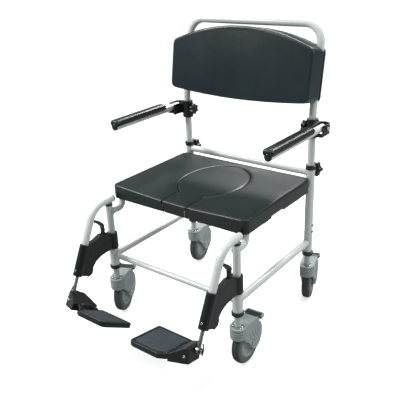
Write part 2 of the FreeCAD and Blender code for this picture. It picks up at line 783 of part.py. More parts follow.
def pan_mass(name, inset, low, high):
    """Tub with splayed corners, tapered downwards."""
    body = new_body(name)

    def draw(sketch, shrink):
        a, b = dim.pan_a - shrink, dim.pan_b - shrink
        corner, splay = 32 - 0.4 * inset, 14 - 0.2 * inset
        polygon(sketch, symmetric([
            (a - corner, -b), (a - splay, -b + splay), (a, -b + corner),
            (a, b - corner), (a - splay, b - splay), (a - corner, b)]))
    bottom = new_sketch(body, name + "_low", "XY")
    draw(bottom, PAN_FLANGE + inset + PAN_TAPER)
    top = new_sketch(body, name + "_high", "XY", high - low)
    draw(top, PAN_FLANGE + inset)
    loft = body.newObject("PartDesign::AdditiveLoft", name + "_loft")
    loft.Profile = bottom
    loft.Sections = [top]
    loft.Ruled = True
    return put(body, (0, dim.pan_y, low))


def commode_pan():
    rim_z = dim.pan_rim_z
    floor = rim_z - dim.pan_deep
    tub = pan_mass("pan_tub", 0, floor, rim_z)
    room = pan_mass("pan_tub_room", PAN_WALL, floor + PAN_WALL, rim_z + PAN_WALL)
    back_edge = dim.pan_y + dim.pan_b
    rim = slab("pan_rim", dim.pan_a + 18, (dim.pan_y - dim.pan_b, back_edge),
               (rim_z - PAN_WALL, rim_z), 12)
    grip = box("pan_grip", (-45, 45), (back_edge - 4, back_edge + 22), around(rim_z, 3))
    return cut("pan_form", fuse("pan_mass", [tub, rim, grip]), room)


node("commode_pan", [commode_pan()])


# ================================================================= push bar
def push_bar():
    """Its path bends in two planes, so one sketch can't hold it."""
    lean = math.radians(dim.lean_deg.value)
    lean_dir = Vector(0, math.sin(lean), math.cos(lean))
    foot = vector(dim.post_x, dim.post_y, dim.push_low)
    knee = vector(dim.post_x, dim.post_y, dim.lean_z)
    left = [foot, knee, knee + lean_dir * dim.push_len.value]
    right = [Vector(-p.x, p.y, p.z) for p in reversed(left)]
    bends = [dim.knee_bend, dim.push_bend, dim.push_bend, dim.knee_bend]
    return bent_tube("push_bar_tube", left + right, bends, dim.tube_r)


node("push_bar", [push_bar()])

# =========================================================== backrest shells
# Built upright about the push bar axes, then leaned back with the bar.
half_back = dim.back_w / 2


def close_loop(sketch, loop):
    """Join curves given as (curve, point where it meets the next curve)."""
    def end_at(geo, point):
        return 1 if (sketch.Geometry[geo].StartPoint - point).Length < 1e-6 else 2
    joints = []
    for i, (geo, point) in enumerate(loop):
        following = loop[(i + 1) % len(loop)][0]
        joints.append((geo, end_at(geo, point), following, end_at(following, point)))
    for joint in joints:
        sketch.addConstraint(Sketcher.Constraint("Coincident", *joint))


def arc_through(sketch, arc, y):
    """Make an arc pass through a point on the sketch's vertical axis."""
    point = sketch.addGeometry(Part.Point(vector(0, y, 0)), True)
    sketch.addConstraint(Sketcher.Constraint("PointOnObject", point, 1, arc))
    fix_point(sketch, point, 1, 0, y)


def back_outline(name):
    """Front view of the backrest: straight sides, arched top, bowed bottom."""
    body = new_body(name)
    sketch = new_sketch(body, name + "_sketch", "XZ")
    low_right = vector(half_back, dim.back_low, 0)
    low_left = vector(-half_back, dim.back_low, 0)
    high_right = vector(half_back, dim.back_high, 0)
    high_left = vector(-half_back, dim.back_high, 0)
    bottom = sketch.addGeometry(
        Part.Arc(low_left, vector(0, dim.back_sag, 0), low_right), False)
    right = sketch.addGeometry(Part.LineSegment(low_right, high_right), False)
    top = sketch.addGeometry(
        Part.Arc(high_right, vector(0, dim.back_crown, 0), high_left), False)
    left = sketch.addGeometry(Part.LineSegment(high_left, low_left), False)
    close_loop(sketch, [(bottom, low_right), (right, high_right),
                        (top, high_left), (left, low_left)])
    fix_point(sketch, right, 1, half_back, dim.back_low)
    fix_point(sketch, right, 2, half_back, dim.back_high)
    fix_point(sketch, left, 1, -half_back, dim.back_high)
    fix_point(sketch, left, 2, -half_back, dim.back_low)
    arc_through(sketch, bottom, dim.back_sag)
    arc_through(sketch, top, dim.back_crown)
    feature = pad(body, sketch, 160, name + "_pad")
    fillet(body, feature, 20, lambda edge: runs_along(edge, Vector(0, 1, 0)), name + "_corners")
    return put(body, (0, 80, 0))


def draw_front_plan(sketch):
    """Hollowed front face, flat face along the tubes."""
    edge_y, split = -dim.back_front, -dim.back_split
    front_left, front_right = vector(-half_back, edge_y, 0), vector(half_back, edge_y, 0)
    rear_left, rear_right = vector(-half_back, split, 0), vector(half_back, split, 0)
    face = sketch.addGeometry(
        Part.Arc(front_left, vector(0, -dim.back_mid, 0), front_right), False)
    right, rear, left = [
        sketch.addGeometry(Part.LineSegment(start, end), False)
        for start, end in ((front_right, rear_right), (rear_right, rear_left),
                           (rear_left, front_left))]
    close_loop(sketch, [(face, front_right), (right, rear_right),
                        (rear, rear_left), (left, front_left)])
    fix_point(sketch, right, 1, half_back, edge_y)
    fix_point(sketch, rear, 1, half_back, split)
    fix_point(sketch, rear, 2, -half_back, split)
    fix_point(sketch, left, 2, -half_back, edge_y)
    arc_through(sketch, face, -dim.back_mid)


def draw_rear_plan(sketch):
    polygon(sketch, symmetric([(half_back, dim.back_split), (half_back, dim.back_rear)]))


def back_plan(name, draw):
    """Plan section of a shell, extruded along the tube, its far edges rounded."""
    body = new_body(name)
    sketch = new_sketch(body, name + "_sketch", "XY")
    draw(sketch)
    feature = pad(body, sketch, 320, name + "_pad")

    def far_from_tube(edge):
        return runs_along(edge, Vector(0, 0, 1)) and abs(edge.Vertexes[0].Point.y) > 5
    fillet(body, feature, 12, far_from_tube, name + "_corners")
    return body


lean_turn = Rotation(Vector(1, 0, 0), -dim.lean_deg.value)
channels = [cyl_z("back_channel_" + tag, dim.tube_r + 0.5, side * dim.post_x, 0, (-10, 330))
            for tag, side in SIDES]
for label, draw in (("backrest_panel", draw_front_plan), ("backrest_cover", draw_rear_plan)):
    form = common(label + "_form", back_plan(label + "_plan", draw),
                  back_outline(label + "_outline"))
    node(label, [cut(label + "_shell", form, *channels)], (0, dim.post_y, dim.lean_z), lean_turn)


# ================================================================= armrests
def arm_tube():
    x, z = dim.arm_x, dim.arm_z
    front, back = dim.arm_front, dim.arm_back
    return cut("arm_tube_form", cyl_y("arm_out", dim.tube_r, x, (front, back), z),
               cyl_y("arm_in", dim.tube_r - dim.wall, x, (front - 10, back + 10), z),
               cyl_x("arm_pivot_hole", dim.arm_bolt + dim.run_gap, around(x, 30),
                     dim.arm_pivot_y, z))


def arm_pad():
    half, top = dim.pad_w / 2, dim.pad_top
    section = symmetric([(half, 2), (half, 15), (half - 5, top - 3.5), (half - 12, top)])
    blank = plate("arm_pad_blank", "XZ",
                  [(dim.arm_x + x, dim.arm_z + z) for x, z in section],  # from the tube axis
                  (dim.pad_front, dim.pad_back), 2.5)
    tube_room = cyl_y("arm_pad_room", tube_fit, dim.arm_x, (-200, 200), dim.arm_z)
    nose_room = box("arm_pad_nose_room", around(dim.arm_x, 13),
                    (dim.pad_front - 1, dim.arm_front), (dim.arm_z - 13, dim.arm_z + 12.6))
    return cut("arm_pad_form", blank, tube_room, nose_room)


def arm_cap():
    """Cap in the arm tube's front end."""
    x, y, z = dim.arm_x, dim.arm_front, dim.arm_z
    return fuse("arm_cap_form", [
        cyl_y("arm_cap_head", dim.tube_r, x, (y - 5.55, y - 0.05), z),
        cyl_y("arm_cap_spigot", dim.tube_r - dim.wall - dim.run_gap, x, (y - 1, y + 24), z)])


def clamp_bow():
    """U-shaped bow, closed at the rear, that wraps the arm tube's end."""
    z, y = dim.arm_z, dim.bow_y
    mid_x = (dim.bow_in + dim.bow_out) / 2
    bow_zs, room_zs = (z - 22, z + 14), (z - 34, z + 26)
    outside = cyl_z("clamp_bow_out", (dim.bow_out - dim.bow_in) / 2, mid_x, y, bow_zs)
    legs = box("clamp_bow_legs", (dim.bow_in, dim.bow_out), (188, y), bow_zs)
    return cut("clamp_bow", fuse("clamp_bow_mass", [outside, legs]),
               cyl_z("clamp_bow_in", (dim.bow_room_out - dim.bow_room_in) / 2, mid_x, y, room_zs),
               box("clamp_bow_room", (dim.bow_room_in, dim.bow_room_out), (180, y), room_zs),
               box("clamp_nose_room", (326, 340), (180, 200), (z + 4, z + 20)))


def arm_clamp():
    post_x, post_y, z = dim.post_x, dim.post_y, dim.arm_z
    front = dim.clamp_front
    mass = fuse("clamp_mass", [
        cyl_z("clamp_hub", dim.clamp_r, post_x, post_y, (dim.clamp_low, dim.clamp_high)),
        box("clamp_web", (post_x, dim.bow_room_in), (214, 246), (z - 26, z + 14)),
        box("clamp_cheek", (dim.bow_in, dim.bow_room_in), (front, 229), (z - 26, z + 14)),
        clamp_bow(),
        box("clamp_shelf", (dim.bow_in, dim.bow_out), (front, 194),
            (z - 22, z - dim.tube_r - 0.3)),
        box("clamp_rib", (dim.bow_room_out, dim.bow_out), (front, 229), (z - 22, z - 10)),
        cyl_x("clamp_bolt", dim.arm_bolt, (290, 336), dim.arm_pivot_y, z),
        cyl_x("clamp_head", 7.5, (dim.bow_out, dim.bow_out + 4.5), dim.arm_pivot_y, z)])
    return cut("clamp_form", mass,
               cyl_z("clamp_bore", tube_fit, post_x, post_y,
                     (dim.clamp_low - 20, dim.clamp_low + 100)),
               cyl_x("clamp_stem_hole", dim.arm_stem + dim.run_gap,
                     (post_x - 24, post_x - 2), post_y, dim.arm_knob_z))


pair("arm_clamp", arm_clamp())
pair("arm_tube", arm_tube())
pair("arm_pad", arm_pad(), arm_cap())

# the arm knobs stand on the inner sides of the clamps
arm_knob = lobed_knob("arm_knob_form", 15.5, lobe_r=5, thick=16,
                      stem_r=dim.arm_stem, stem_len=7.4)
for tag, side in SIDES:
    node("arm_knob_" + tag, [arm_knob],
         (side * (dim.post_x - dim.clamp_r - 0.4), dim.post_y, dim.arm_knob_z),
         Rotation(Vector(0, 1, 0), -90 * side))

# ================================================================= legrests
hang = math.radians(dim.hang_deg.value)
down = Vector(0, -math.sin(hang), -math.cos(hang))
sleeve_turn = Rotation(Vector(0, 0, 1), down)
eye_reach = (dim.sleeve_len + dim.rod_out).value


def on_sleeve(distance):
    """Point on the bracket sleeve's axis, at a distance below its top."""
    point = vector(0, dim.sleeve_y, dim.sleeve_z) + down * distance
    return (dim.post_x, point.y, point.z)


eye_x, eye_y, eye_z = on_sleeve(eye_reach)


def sleeve_cylinder(name, radius, start, tall):
    return cylinder(name, radius, tall, on_sleeve(start), sleeve_turn)


def hanger_tube():
    # the corner lies where the sleeve axis meets the hanger tube height
    rise = (dim.hang_z - dim.sleeve_z).value
    corner_y = dim.sleeve_y.value + math.tan(hang) * rise
    path = [vector(dim.post_x, dim.hang_back, dim.hang_z),
            vector(dim.post_x, corner_y, dim.hang_z),
            vector(*on_sleeve(34.0))]
    return fuse("hanger_tube_form", [
        bent_tube("hanger_pipe", path, [dim.hang_bend], dim.tube_r),
        cyl_z("hanger_pin", dim.leg_r, dim.post_x, -dim.post_y,
              (dim.hang_z - 65, dim.hang_z - 11.5)),
        cyl_y("hanger_plug", dim.tube_r - 0.5, dim.post_x, around(dim.hang_back, 3), dim.hang_z)])


def hanger_bracket():
    x = dim.post_x
    arm_outline = [  # y, z
        (-352, 352), (-318, 357), (-290, 366), (-262, 360), (-240, 350), (-232, 350),
        (-232, 292), (-262, 291), (-300, 288), (-326, 279), (-342, 264), (-352, 246),
        (-364, 240), (-392, 250), (-392, 300)]
    nose_outline = [(-370, 238), (-352, 243), (-345, 262), (-380, 300), (-400, 262)]  # y, z
    mass = fuse("bracket_mass", [
        sleeve_cylinder("bracket_sleeve", dim.bracket_r, 0, dim.sleeve_len),
        cyl_z("bracket_collar", 19, x, -dim.post_y, (290, 350)),
        plate("bracket_arm", "YZ", arm_outline, around(x, 10)),
        plate("bracket_nose", "YZ", nose_outline, around(x, 13))])
    bored = cut("bracket_cut", mass,
                cyl_z("bracket_post_bore", dim.post_r + 0.1, x, -dim.post_y, (260, 380)),
                sleeve_cylinder("bracket_tube_bore", tube_fit, -4, 46),
                sleeve_cylinder("bracket_rod_bore", dim.rod_r + dim.run_gap, 0, 200),
                box("bracket_slot", around(x, 7), (-287, -265), (347, 380)))
    pin = cyl_x("bracket_pin", dim.lever_pin, around(x, 8), dim.lever_y, dim.lever_z)
    return fuse("bracket_form", [bored, pin])


def release_lever():
    foot = [(-281, 358), (-271, 358), (-268, 376), (-269, 392)]  # y, z
    bend = [(-276, 405), (-287, 416), (-300, 425), (-306, 424), (-307, 417),
            (-298, 411), (-287, 402), (-280, 391)]
    width = around(dim.post_x, dim.lever_w / 2)
    blade = plate("lever_blade", "YZ", foot + bend + [(-279, 376)], width, 1.0)
    eye = cyl_x("lever_eye", 7, width, dim.lever_y, dim.lever_z)
    top = plate("lever_top", "YZ", [(-270, 392)] + bend, around(dim.post_x, 10.5), 1.0)
    hole = cyl_x("lever_hole", dim.lever_pin + dim.run_gap, around(dim.post_x, 20),
                 dim.lever_y, dim.lever_z)
    return cut("lever_form", fuse("lever_mass", [blade, eye, top]), hole)


def foot_rod():
    """Rod in the sleeve, with an eye at its lower end."""
    mass = fuse("foot_rod_mass", [
        sleeve_cylinder("rod_bar", dim.rod_r, 10, dim.sleeve_len + dim.rod_out - 10 - 5),
        cyl_x("rod_eye", 10, around(eye_x, 6.5), eye_y, eye_z),
        sleeve_cylinder("rod_shank", 6.4, eye_reach - 32, 24)])
    hole = cyl_x("rod_eye_hole", dim.eye_pin + dim.run_gap, around(eye_x, 20), eye_y, eye_z)
    return cut("foot_rod_form", mass, hole)


pair("hanger_tube", hanger_tube())
pair("hanger_bracket", hanger_bracket())
pair("release_lever", release_lever())
pair("foot_rod", foot_rod())

# ============================================================== footplates
# Lug and footplate are built with y = z = 0 at the eye and the plate level.
plate_top = -dim.plate_drop
hinge_z = plate_top + dim.hinge_up
LUG_YS = (-18, 28)  # the lug's knuckle, between the two footplate knuckles


def foot_lug():
    hinge_x, post_x = dim.hinge_x, dim.post_x
    wing_in, rod_side = hinge_x + 5.6, post_x - 8.3
    # the wing carries on from the plate edge and narrows towards the rod
    wing_side = plate("lug_wing_side", "XZ", [  # x, z
        (wing_in, plate_top - 12.5), (rod_side, plate_top - 11), (rod_side, 11),
        (post_x - 20, 12), (post_x - 34, 4), (wing_in, plate_top + 12)], (-57, 60))
    wing_plan = plate("lug_wing_plan", "XY", [  # x, y
        (wing_in, -57), (rod_side, -30), (rod_side, 22), (wing_in, 60)], (plate_top - 30, 20))
    return fuse("foot_lug_form", [
        box("lug_tongue", around(hinge_x, 3.8), LUG_YS, (hinge_z, hinge_z + 8)),
        cyl_y("lug_knuckle", dim.hinge_r, hinge_x, LUG_YS, hinge_z),
        cyl_y("lug_hinge_pin", dim.hinge_pin, hinge_x, (-39, 49), hinge_z),
        common("lug_wing", wing_side, wing_plan),
        box("lug_beam", (hinge_x + 1, hinge_x + 12), (-18, 16), (plate_top - 12, hinge_z + 8)),
        cyl_x("lug_cheek", 15, (post_x - 21.1, rod_side), 0, 0),
        cyl_x("lug_pin", dim.eye_pin, around(post_x, 12), 0, 0),
        cyl_x("lug_pin_head", 9, (post_x + 7.1, post_x + 12.1), 0, 0)])


def foot_block(name, inset, zs, corner, rim=None):
    """Block with the footplate's outline, drawn in by an inset."""
    inner = dim.plate_out - dim.plate_w + inset
    outer = dim.plate_out - inset
    front = dim.plate_back - dim.plate_l + inset
    back = dim.plate_back - inset
    outline = [(inner, front + 6), (inner + 16, front), (outer - 26, front),
               (outer, front + 18), (outer, back), (inner, back)]
    return plate(name, "XY", outline, zs, corner, rim, both_rims=True)


def footplate():
    hinge_x = dim.hinge_x
    blank = foot_block("foot_blank", 0, (plate_top - dim.plate_t, plate_top), 7, 2)
    recess = foot_block("foot_recess", 10, (plate_top - 2.2, plate_top + 5), 4)
    parts = [cut("foot_dished", blank, recess)]
    for ys in ((-39, -18.5), (28.5, 48)):
        parts.append(cyl_y("plate_knuckle", dim.hinge_r, hinge_x, ys, hinge_z))
        parts.append(box("plate_web", (hinge_x - 14, hinge_x - 6.2), ys,
                         (plate_top - 6, hinge_z + 0.5)))
        parts.append(box("plate_bridge", (hinge_x - 8, hinge_x), ys,
                         (hinge_z - dim.hinge_r, hinge_z)))
    return cut("footplate_form", fuse("footplate_mass", parts),
               cyl_y("plate_pin_room", dim.hinge_pin + dim.run_gap, hinge_x, (-60, 60), hinge_z),
               box("plate_tongue_room", (hinge_x - 7, hinge_x + 20),
                   (LUG_YS[0] - 0.4, LUG_YS[1] + 0.4), (plate_top - 40, hinge_z + 30)))


inlay = foot_block("foot_inlay", 10.4, (plate_top - 2.15, plate_top - 0.4), 3.6)
tilts = {"left": Rotation(Vector(1, 0, 0), -dim.tilt_left.value),
         "right": Rotation(Vector(1, 0, 0), -dim.tilt_right.value)}
for label, part in (("foot_lug", foot_lug()), ("footplate", footplate()),
                    ("footplate_pad", inlay)):
    pair(label, part, at=(0, eye_y, eye_z), turns=tilts)

# ========================================================= checks and export
doc.recompute()
problems = []
for obj in doc.Objects:
    if "Invalid" in obj.State or "Error" in obj.State:
        problems.append(f"{obj.Name} is {obj.State}, {obj.getStatusString()}")
for obj in CUTS:
    if obj.Shape.isNull() or obj.Base.Shape.isNull():
        problems.append(obj.Name + " is empty")
    elif obj.Shape.Volume >= obj.Base.Shape.Volume - 1e-3:
        problems.append(obj.Name + " cut nothing")
for obj in NODES:
    if obj.Shape.isNull() or not obj.Shape.isValid() or not obj.Shape.Solids:
        problems.append(obj.Label + " has no valid solid")
if problems:
    raise RuntimeError("; ".join(problems))

for obj in NODES:
    obj.Shape.exportStep(f"parts/{obj.Label}.step")
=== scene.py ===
"""Commode chair on four casters: tube frame, padded seat and backrest, armrests, legrests, pan.

Row frame: metres, +Z up, floor at z = 0, the chair faces -Y and its left side is +X.
chair(x, y, z) turns chair millimetres, with y = 0 midway between the posts, into that frame.
Some CAD nodes stay and get a finish; the others are replaced by meshes built here.
"""
import json
import math

import bmesh
import bpy
import numpy as np
from mathutils import Matrix, Vector


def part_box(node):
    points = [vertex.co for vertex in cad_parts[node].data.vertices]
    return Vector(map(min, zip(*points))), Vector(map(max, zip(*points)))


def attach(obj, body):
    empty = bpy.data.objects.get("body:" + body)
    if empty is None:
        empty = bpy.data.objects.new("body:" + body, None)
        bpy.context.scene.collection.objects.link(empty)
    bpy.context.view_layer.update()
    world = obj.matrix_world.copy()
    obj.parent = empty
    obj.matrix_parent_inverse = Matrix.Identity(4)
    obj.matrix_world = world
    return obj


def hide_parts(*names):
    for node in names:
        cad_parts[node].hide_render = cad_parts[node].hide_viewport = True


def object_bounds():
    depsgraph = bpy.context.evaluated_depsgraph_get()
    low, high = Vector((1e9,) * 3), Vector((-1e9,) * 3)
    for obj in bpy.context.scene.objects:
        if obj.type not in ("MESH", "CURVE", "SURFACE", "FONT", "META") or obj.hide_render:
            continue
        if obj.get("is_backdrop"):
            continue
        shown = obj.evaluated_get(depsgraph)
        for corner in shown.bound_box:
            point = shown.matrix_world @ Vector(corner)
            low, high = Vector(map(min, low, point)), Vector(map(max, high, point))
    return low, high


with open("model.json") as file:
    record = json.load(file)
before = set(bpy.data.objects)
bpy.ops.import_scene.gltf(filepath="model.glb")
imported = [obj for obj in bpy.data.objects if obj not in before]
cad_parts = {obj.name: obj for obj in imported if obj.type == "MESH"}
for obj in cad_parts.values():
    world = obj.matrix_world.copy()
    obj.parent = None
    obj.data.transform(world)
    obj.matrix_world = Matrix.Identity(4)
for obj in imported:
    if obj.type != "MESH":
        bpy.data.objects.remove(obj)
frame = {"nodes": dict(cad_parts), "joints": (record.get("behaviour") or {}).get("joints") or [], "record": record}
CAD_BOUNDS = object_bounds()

NODES = frame["nodes"]
JOINTS = {joint["name"]: joint for joint in frame["joints"]}
BODY_OF = {node: body for body, nodes in frame["record"]["behaviour"]["bodies"].items()
           for node in nodes}
scene = bpy.context.scene

SIDES = (("left", 1), ("right", -1))
CORNERS = ("front_left", "front_right", "rear_left", "rear_right")
COARSEN = 1.0    # factor on every voxel size

# chair dimensions, millimetres
POST_X, POST_Y = 268, 232               # post centres, either side of the middle
ARM_X, ARM_Z = 310, 703                 # arm tube centre
PIVOT_Y = 212                           # armrest pivot
# angles, degrees
BACK_LEAN = 9.7
HANGER_SLOPE = 26.35
FOOT_TILT = {"left": 11.7, "right": 32.3}
# casters, metres
WHEEL_R = 0.075
TRAIL = 0.0508                          # axle behind the swivel

front_leg_low, front_leg_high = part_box("leg_tube_front_left")
ORIGIN_Y = (front_leg_low.y + front_leg_high.y) / 2 + POST_Y / 1000


def chair(x, y, z):
    """Chair millimetres to row-frame metres."""
    return Vector((x / 1000.0, y / 1000.0 + ORIGIN_Y, z / 1000.0))


def add_object(name, data):
    obj = bpy.data.objects.new(name, data)
    scene.collection.objects.link(obj)
    return obj


# ------------------------------------------------------------------ node graphs
class Graph:
    """Node tree with one shader joined to its output."""

    def __init__(self, owner, output_kind, shader_kind):
        owner.use_nodes = True
        self.tree = owner.node_tree
        self.tree.nodes.clear()
        output = self.add(output_kind)
        self.shader = self.add(shader_kind)
        self.feed(output.inputs[0], self.shader.outputs[0])
        self.coords = self.add("ShaderNodeTexCoord")

    def add(self, kind):
        return self.tree.nodes.new(kind)

    def feed(self, socket, value):
        """Set an input from a number, an RGB colour or another node's output."""
        if isinstance(value, (int, float)):
            socket.default_value = value
        elif isinstance(value, tuple):
            socket.default_value = (*value, 1)
        else:
            self.tree.links.new(value, socket)

    def put(self, name, value):
        self.feed(self.shader.inputs[name], value)

    def rescale(self, source, low, high, start=0.3, end=0.7, smooth=False):
        """Map start..end to low..high."""
        node = self.add("ShaderNodeMapRange")
        if smooth:
            node.interpolation_type = "SMOOTHSTEP"
        for i, value in enumerate((start, end, low, high)):
            node.inputs[i + 1].default_value = value
        self.feed(node.inputs[0], source)
        return node.outputs[0]

    def mix(self, factor, first, second):
        node = self.add("ShaderNodeMix")
        node.data_type = "RGBA"
        for i, value in ((0, factor), (6, first), (7, second)):
            self.feed(node.inputs[i], value)
        return node.outputs[2]


class Surface(Graph):
    """Principled material."""

    def __init__(self, name):
        self.material = bpy.data.materials.new(name)
        super().__init__(self.material, "ShaderNodeOutputMaterial", "ShaderNodeBsdfPrincipled")

    def noise(self, scale, detail=4.0, rough=0.5, stretch=None):
        source = self.coords.outputs["Object"]
        if stretch:
            mapping = self.add("ShaderNodeMapping")
            mapping.inputs["Scale"].default_value = stretch
            self.feed(mapping.inputs["Vector"], source)
            source = mapping.outputs[0]
        node = self.add("ShaderNodeTexNoise")
        node.inputs["Scale"].default_value = scale
        node.inputs["Detail"].default_value = detail
        node.inputs["Roughness"].default_value = rough
        self.feed(node.inputs["Vector"], source)
        return node.outputs[0]

    def cell_edges(self, scale):
        node = self.add("ShaderNodeTexVoronoi")
        node.feature = "DISTANCE_TO_EDGE"
        node.inputs["Scale"].default_value = scale
        self.feed(node.inputs["Vector"], self.coords.outputs["Object"])
        return node.outputs["Distance"]

    def ramp(self, source, start, end):
        """Black at start to white at end."""
        node = self.add("ShaderNodeValToRGB")
        black, white = node.color_ramp.elements
        black.position = start
        white.position = end
        self.feed(node.inputs[0], source)
        return node.outputs[0]

    def calc(self, operation, first, second):
        node = self.add("ShaderNodeMath")
        node.operation = operation
        self.feed(node.inputs[0], first)
        self.feed(node.inputs[1], second)
        return node.outputs[0]

    def bump(self, layers):
        """Chain of bumps. Each layer: height, strength, distance in metres."""
        normal = None
        for height, strength, distance in layers:
            node = self.add("ShaderNodeBump")
            node.inputs["Strength"].default_value = strength
            node.inputs["Distance"].default_value = distance
            self.feed(node.inputs["Height"], height)
            if normal:
                self.feed(node.inputs["Normal"], normal)
            normal = node.outputs[0]
        self.put("Normal", normal)

    def crevice_shade(self, color, shade_color, amount, reach):
        """Painted shade: darker colour where surfaces meet, from ambient occlusion within reach metres."""
        node = self.add("ShaderNodeAmbientOcclusion")
        node.samples = 4
        node.inputs["Distance"].default_value = reach
        factor = self.rescale(node.outputs["AO"], amount, 0.0, start=0.35, end=1.0)
        return self.mix(factor, color, shade_color)

    def edge_highlight(self, color, highlight_color, amount, start, end):
        """Painted highlight: lighter colour on convex edges."""
        node = self.add("ShaderNodeNewGeometry")
        factor = self.rescale(node.outputs["Pointiness"], 0.0, amount, start, end)
        return self.mix(factor, color, highlight_color)


# ------------------------------------------------------------------ materials
def powder_coat(name):
    m = Surface(name)
    cloud = m.ramp(m.noise(scale=9, detail=5), start=0.35, end=0.7)
    tone = m.mix(cloud, (0.83, 0.855, 0.845), (0.90, 0.915, 0.91))
    speck = m.ramp(m.noise(scale=520, detail=2), start=0.70, end=0.78)
    tone = m.mix(m.calc("MULTIPLY", speck, 0.18), tone, (0.62, 0.63, 0.60))
    # painted shade: grey-green where surfaces meet
    m.put("Base Color", m.crevice_shade(tone, (0.34, 0.36, 0.33), amount=0.75, reach=0.010))
    m.put("Roughness", m.rescale(m.noise(scale=40), low=0.24, high=0.40))
    m.put("Coat Weight", 0.35)
    m.put("Coat Roughness", 0.12)
    m.bump([(m.noise(scale=420, detail=2), 0.16, 0.0004),
            (m.noise(scale=60, detail=3), 0.05, 0.0008)])
    return m.material


def skin(name, base, light, rough, scale):
    """Black foam skin with a fine cell pattern, a painted highlight on convex edges and painted shade where
    surfaces meet.
    """
    m = Surface(name)
    cloud = m.ramp(m.noise(scale=6, detail=6, rough=0.6), start=0.3, end=0.75)
    tone = m.mix(cloud, base, light)
    tone = m.edge_highlight(tone, (0.060, 0.070, 0.072), amount=0.55, start=0.505, end=0.56)
    tone = m.crevice_shade(tone, (0.006, 0.007, 0.007), amount=0.8, reach=0.008)
    m.put("Base Color", tone)
    smear = m.noise(scale=4, detail=3, stretch=(1.0, 2.4, 1.0))
    fine = m.noise(scale=90)
    m.put("Roughness", m.mix(0.30, m.rescale(smear, *rough), m.rescale(fine, *rough)))
    m.put("Specular IOR Level", 0.5)
    cells = m.cell_edges(scale)
    m.bump([(m.ramp(cells, start=0.0, end=0.22), 0.16, 0.00025),
            (m.noise(scale=scale * 3, detail=3), 0.14, 0.0002),
            (m.noise(scale=9, detail=2), 0.04, 0.0012)])
    return m.material


def moulded(name, base, light, rough, grain, edge=(0.10, 0.105, 0.11), edge_highlight_amount=0.5,
            shade_color=(0.004, 0.005, 0.005), shade_amount=0.7):
    """Grained hard plastic or paint, with a painted highlight on convex edges and painted shade where surfaces
    meet.
    """
    m = Surface(name)
    cloud = m.ramp(m.noise(scale=22, detail=5, rough=0.55), start=0.3, end=0.72)
    tone = m.mix(cloud, base, light)
    tone = m.edge_highlight(tone, edge, edge_highlight_amount, start=0.51, end=0.60)
    m.put("Base Color", m.crevice_shade(tone, shade_color, shade_amount, reach=0.007))
    scuff = m.ramp(m.noise(scale=70, detail=6, rough=0.7, stretch=(1, 5, 1)),
                   start=0.56, end=0.66)
    m.put("Roughness", m.calc("ADD", m.rescale(m.noise(scale=30), *rough),
                              m.calc("MULTIPLY", scuff, 0.10)))
    m.bump([(m.noise(scale=grain, detail=3, rough=0.6), 0.22, 0.00022),
            (m.noise(scale=25, detail=3), 0.05, 0.0012)])
    return m.material


def rubber(name, base, light, scale, wall=None):
    """Dusty rubber. wall: colour where the mesh attribute side_wall is 1."""
    m = Surface(name)
    cloud = m.ramp(m.noise(scale=14, detail=6, rough=0.6), start=0.35, end=0.7)
    tone = m.mix(cloud, base, light)
    dust = m.ramp(m.noise(scale=120, detail=6, rough=0.7), start=0.52, end=0.75)
    tone = m.mix(m.calc("MULTIPLY", dust, 0.30), tone, (0.22, 0.225, 0.215))
    # painted shade: darker where surfaces meet
    tone = m.crevice_shade(tone, (0.012, 0.013, 0.013), amount=0.7, reach=0.006)
    if wall:
        mask = m.add("ShaderNodeAttribute")
        mask.attribute_name = "side_wall"
        tone = m.mix(mask.outputs["Fac"], tone, wall)
    m.put("Base Color", tone)
    m.put("Roughness", m.rescale(m.noise(scale=45, detail=5), low=0.50, high=0.78))
    m.bump([(m.noise(scale=scale, detail=5, rough=0.6), 0.3, 0.0004),
            (m.noise(scale=30, detail=3), 0.08, 0.0008)])
    return m.material


def metal(name, base, rough, stretch, scale):
    """Brushed metal; stretch and scale set the brush marks."""
    m = Surface(name)

    def dimmed(factor):
        return tuple(channel * factor for channel in base)

    brush = m.noise(scale, detail=6, rough=0.7, stretch=stretch)
    tone = m.mix(m.ramp(brush, start=0.3, end=0.7), dimmed(0.82), base)
    stain = m.ramp(m.noise(scale=35, detail=5, rough=0.65), start=0.55, end=0.75)
    tone = m.mix(m.calc("MULTIPLY", stain, 0.35), tone, dimmed(0.55))
    # painted shade: darker where surfaces meet
    m.put("Base Color", m.crevice_shade(tone, (0.10, 0.10, 0.09), amount=0.6, reach=0.005))
    m.put("Metallic", 1.0)
    m.put("Roughness", m.rescale(brush, *rough))
    m.bump([(brush, 0.08, 0.0002)])
    return m.material


def pan_plastic(name):
    m = Surface(name)
    cloud = m.ramp(m.noise(scale=12), start=0.3, end=0.7)
    tone = m.mix(cloud, (0.66, 0.69, 0.69), (0.74, 0.76, 0.76))
    # painted shade: darker where surfaces meet
    m.put("Base Color", m.crevice_shade(tone, (0.30, 0.31, 0.30), amount=0.6, reach=0.012))
    m.put("Roughness", m.rescale(m.noise(scale=60, detail=5), low=0.22, high=0.36))
    m.put("Subsurface Weight", 0.15)
    m.put("Subsurface Scale", 0.004)
    m.bump([(m.noise(scale=500, detail=2), 0.08, 0.0002)])
    return m.material


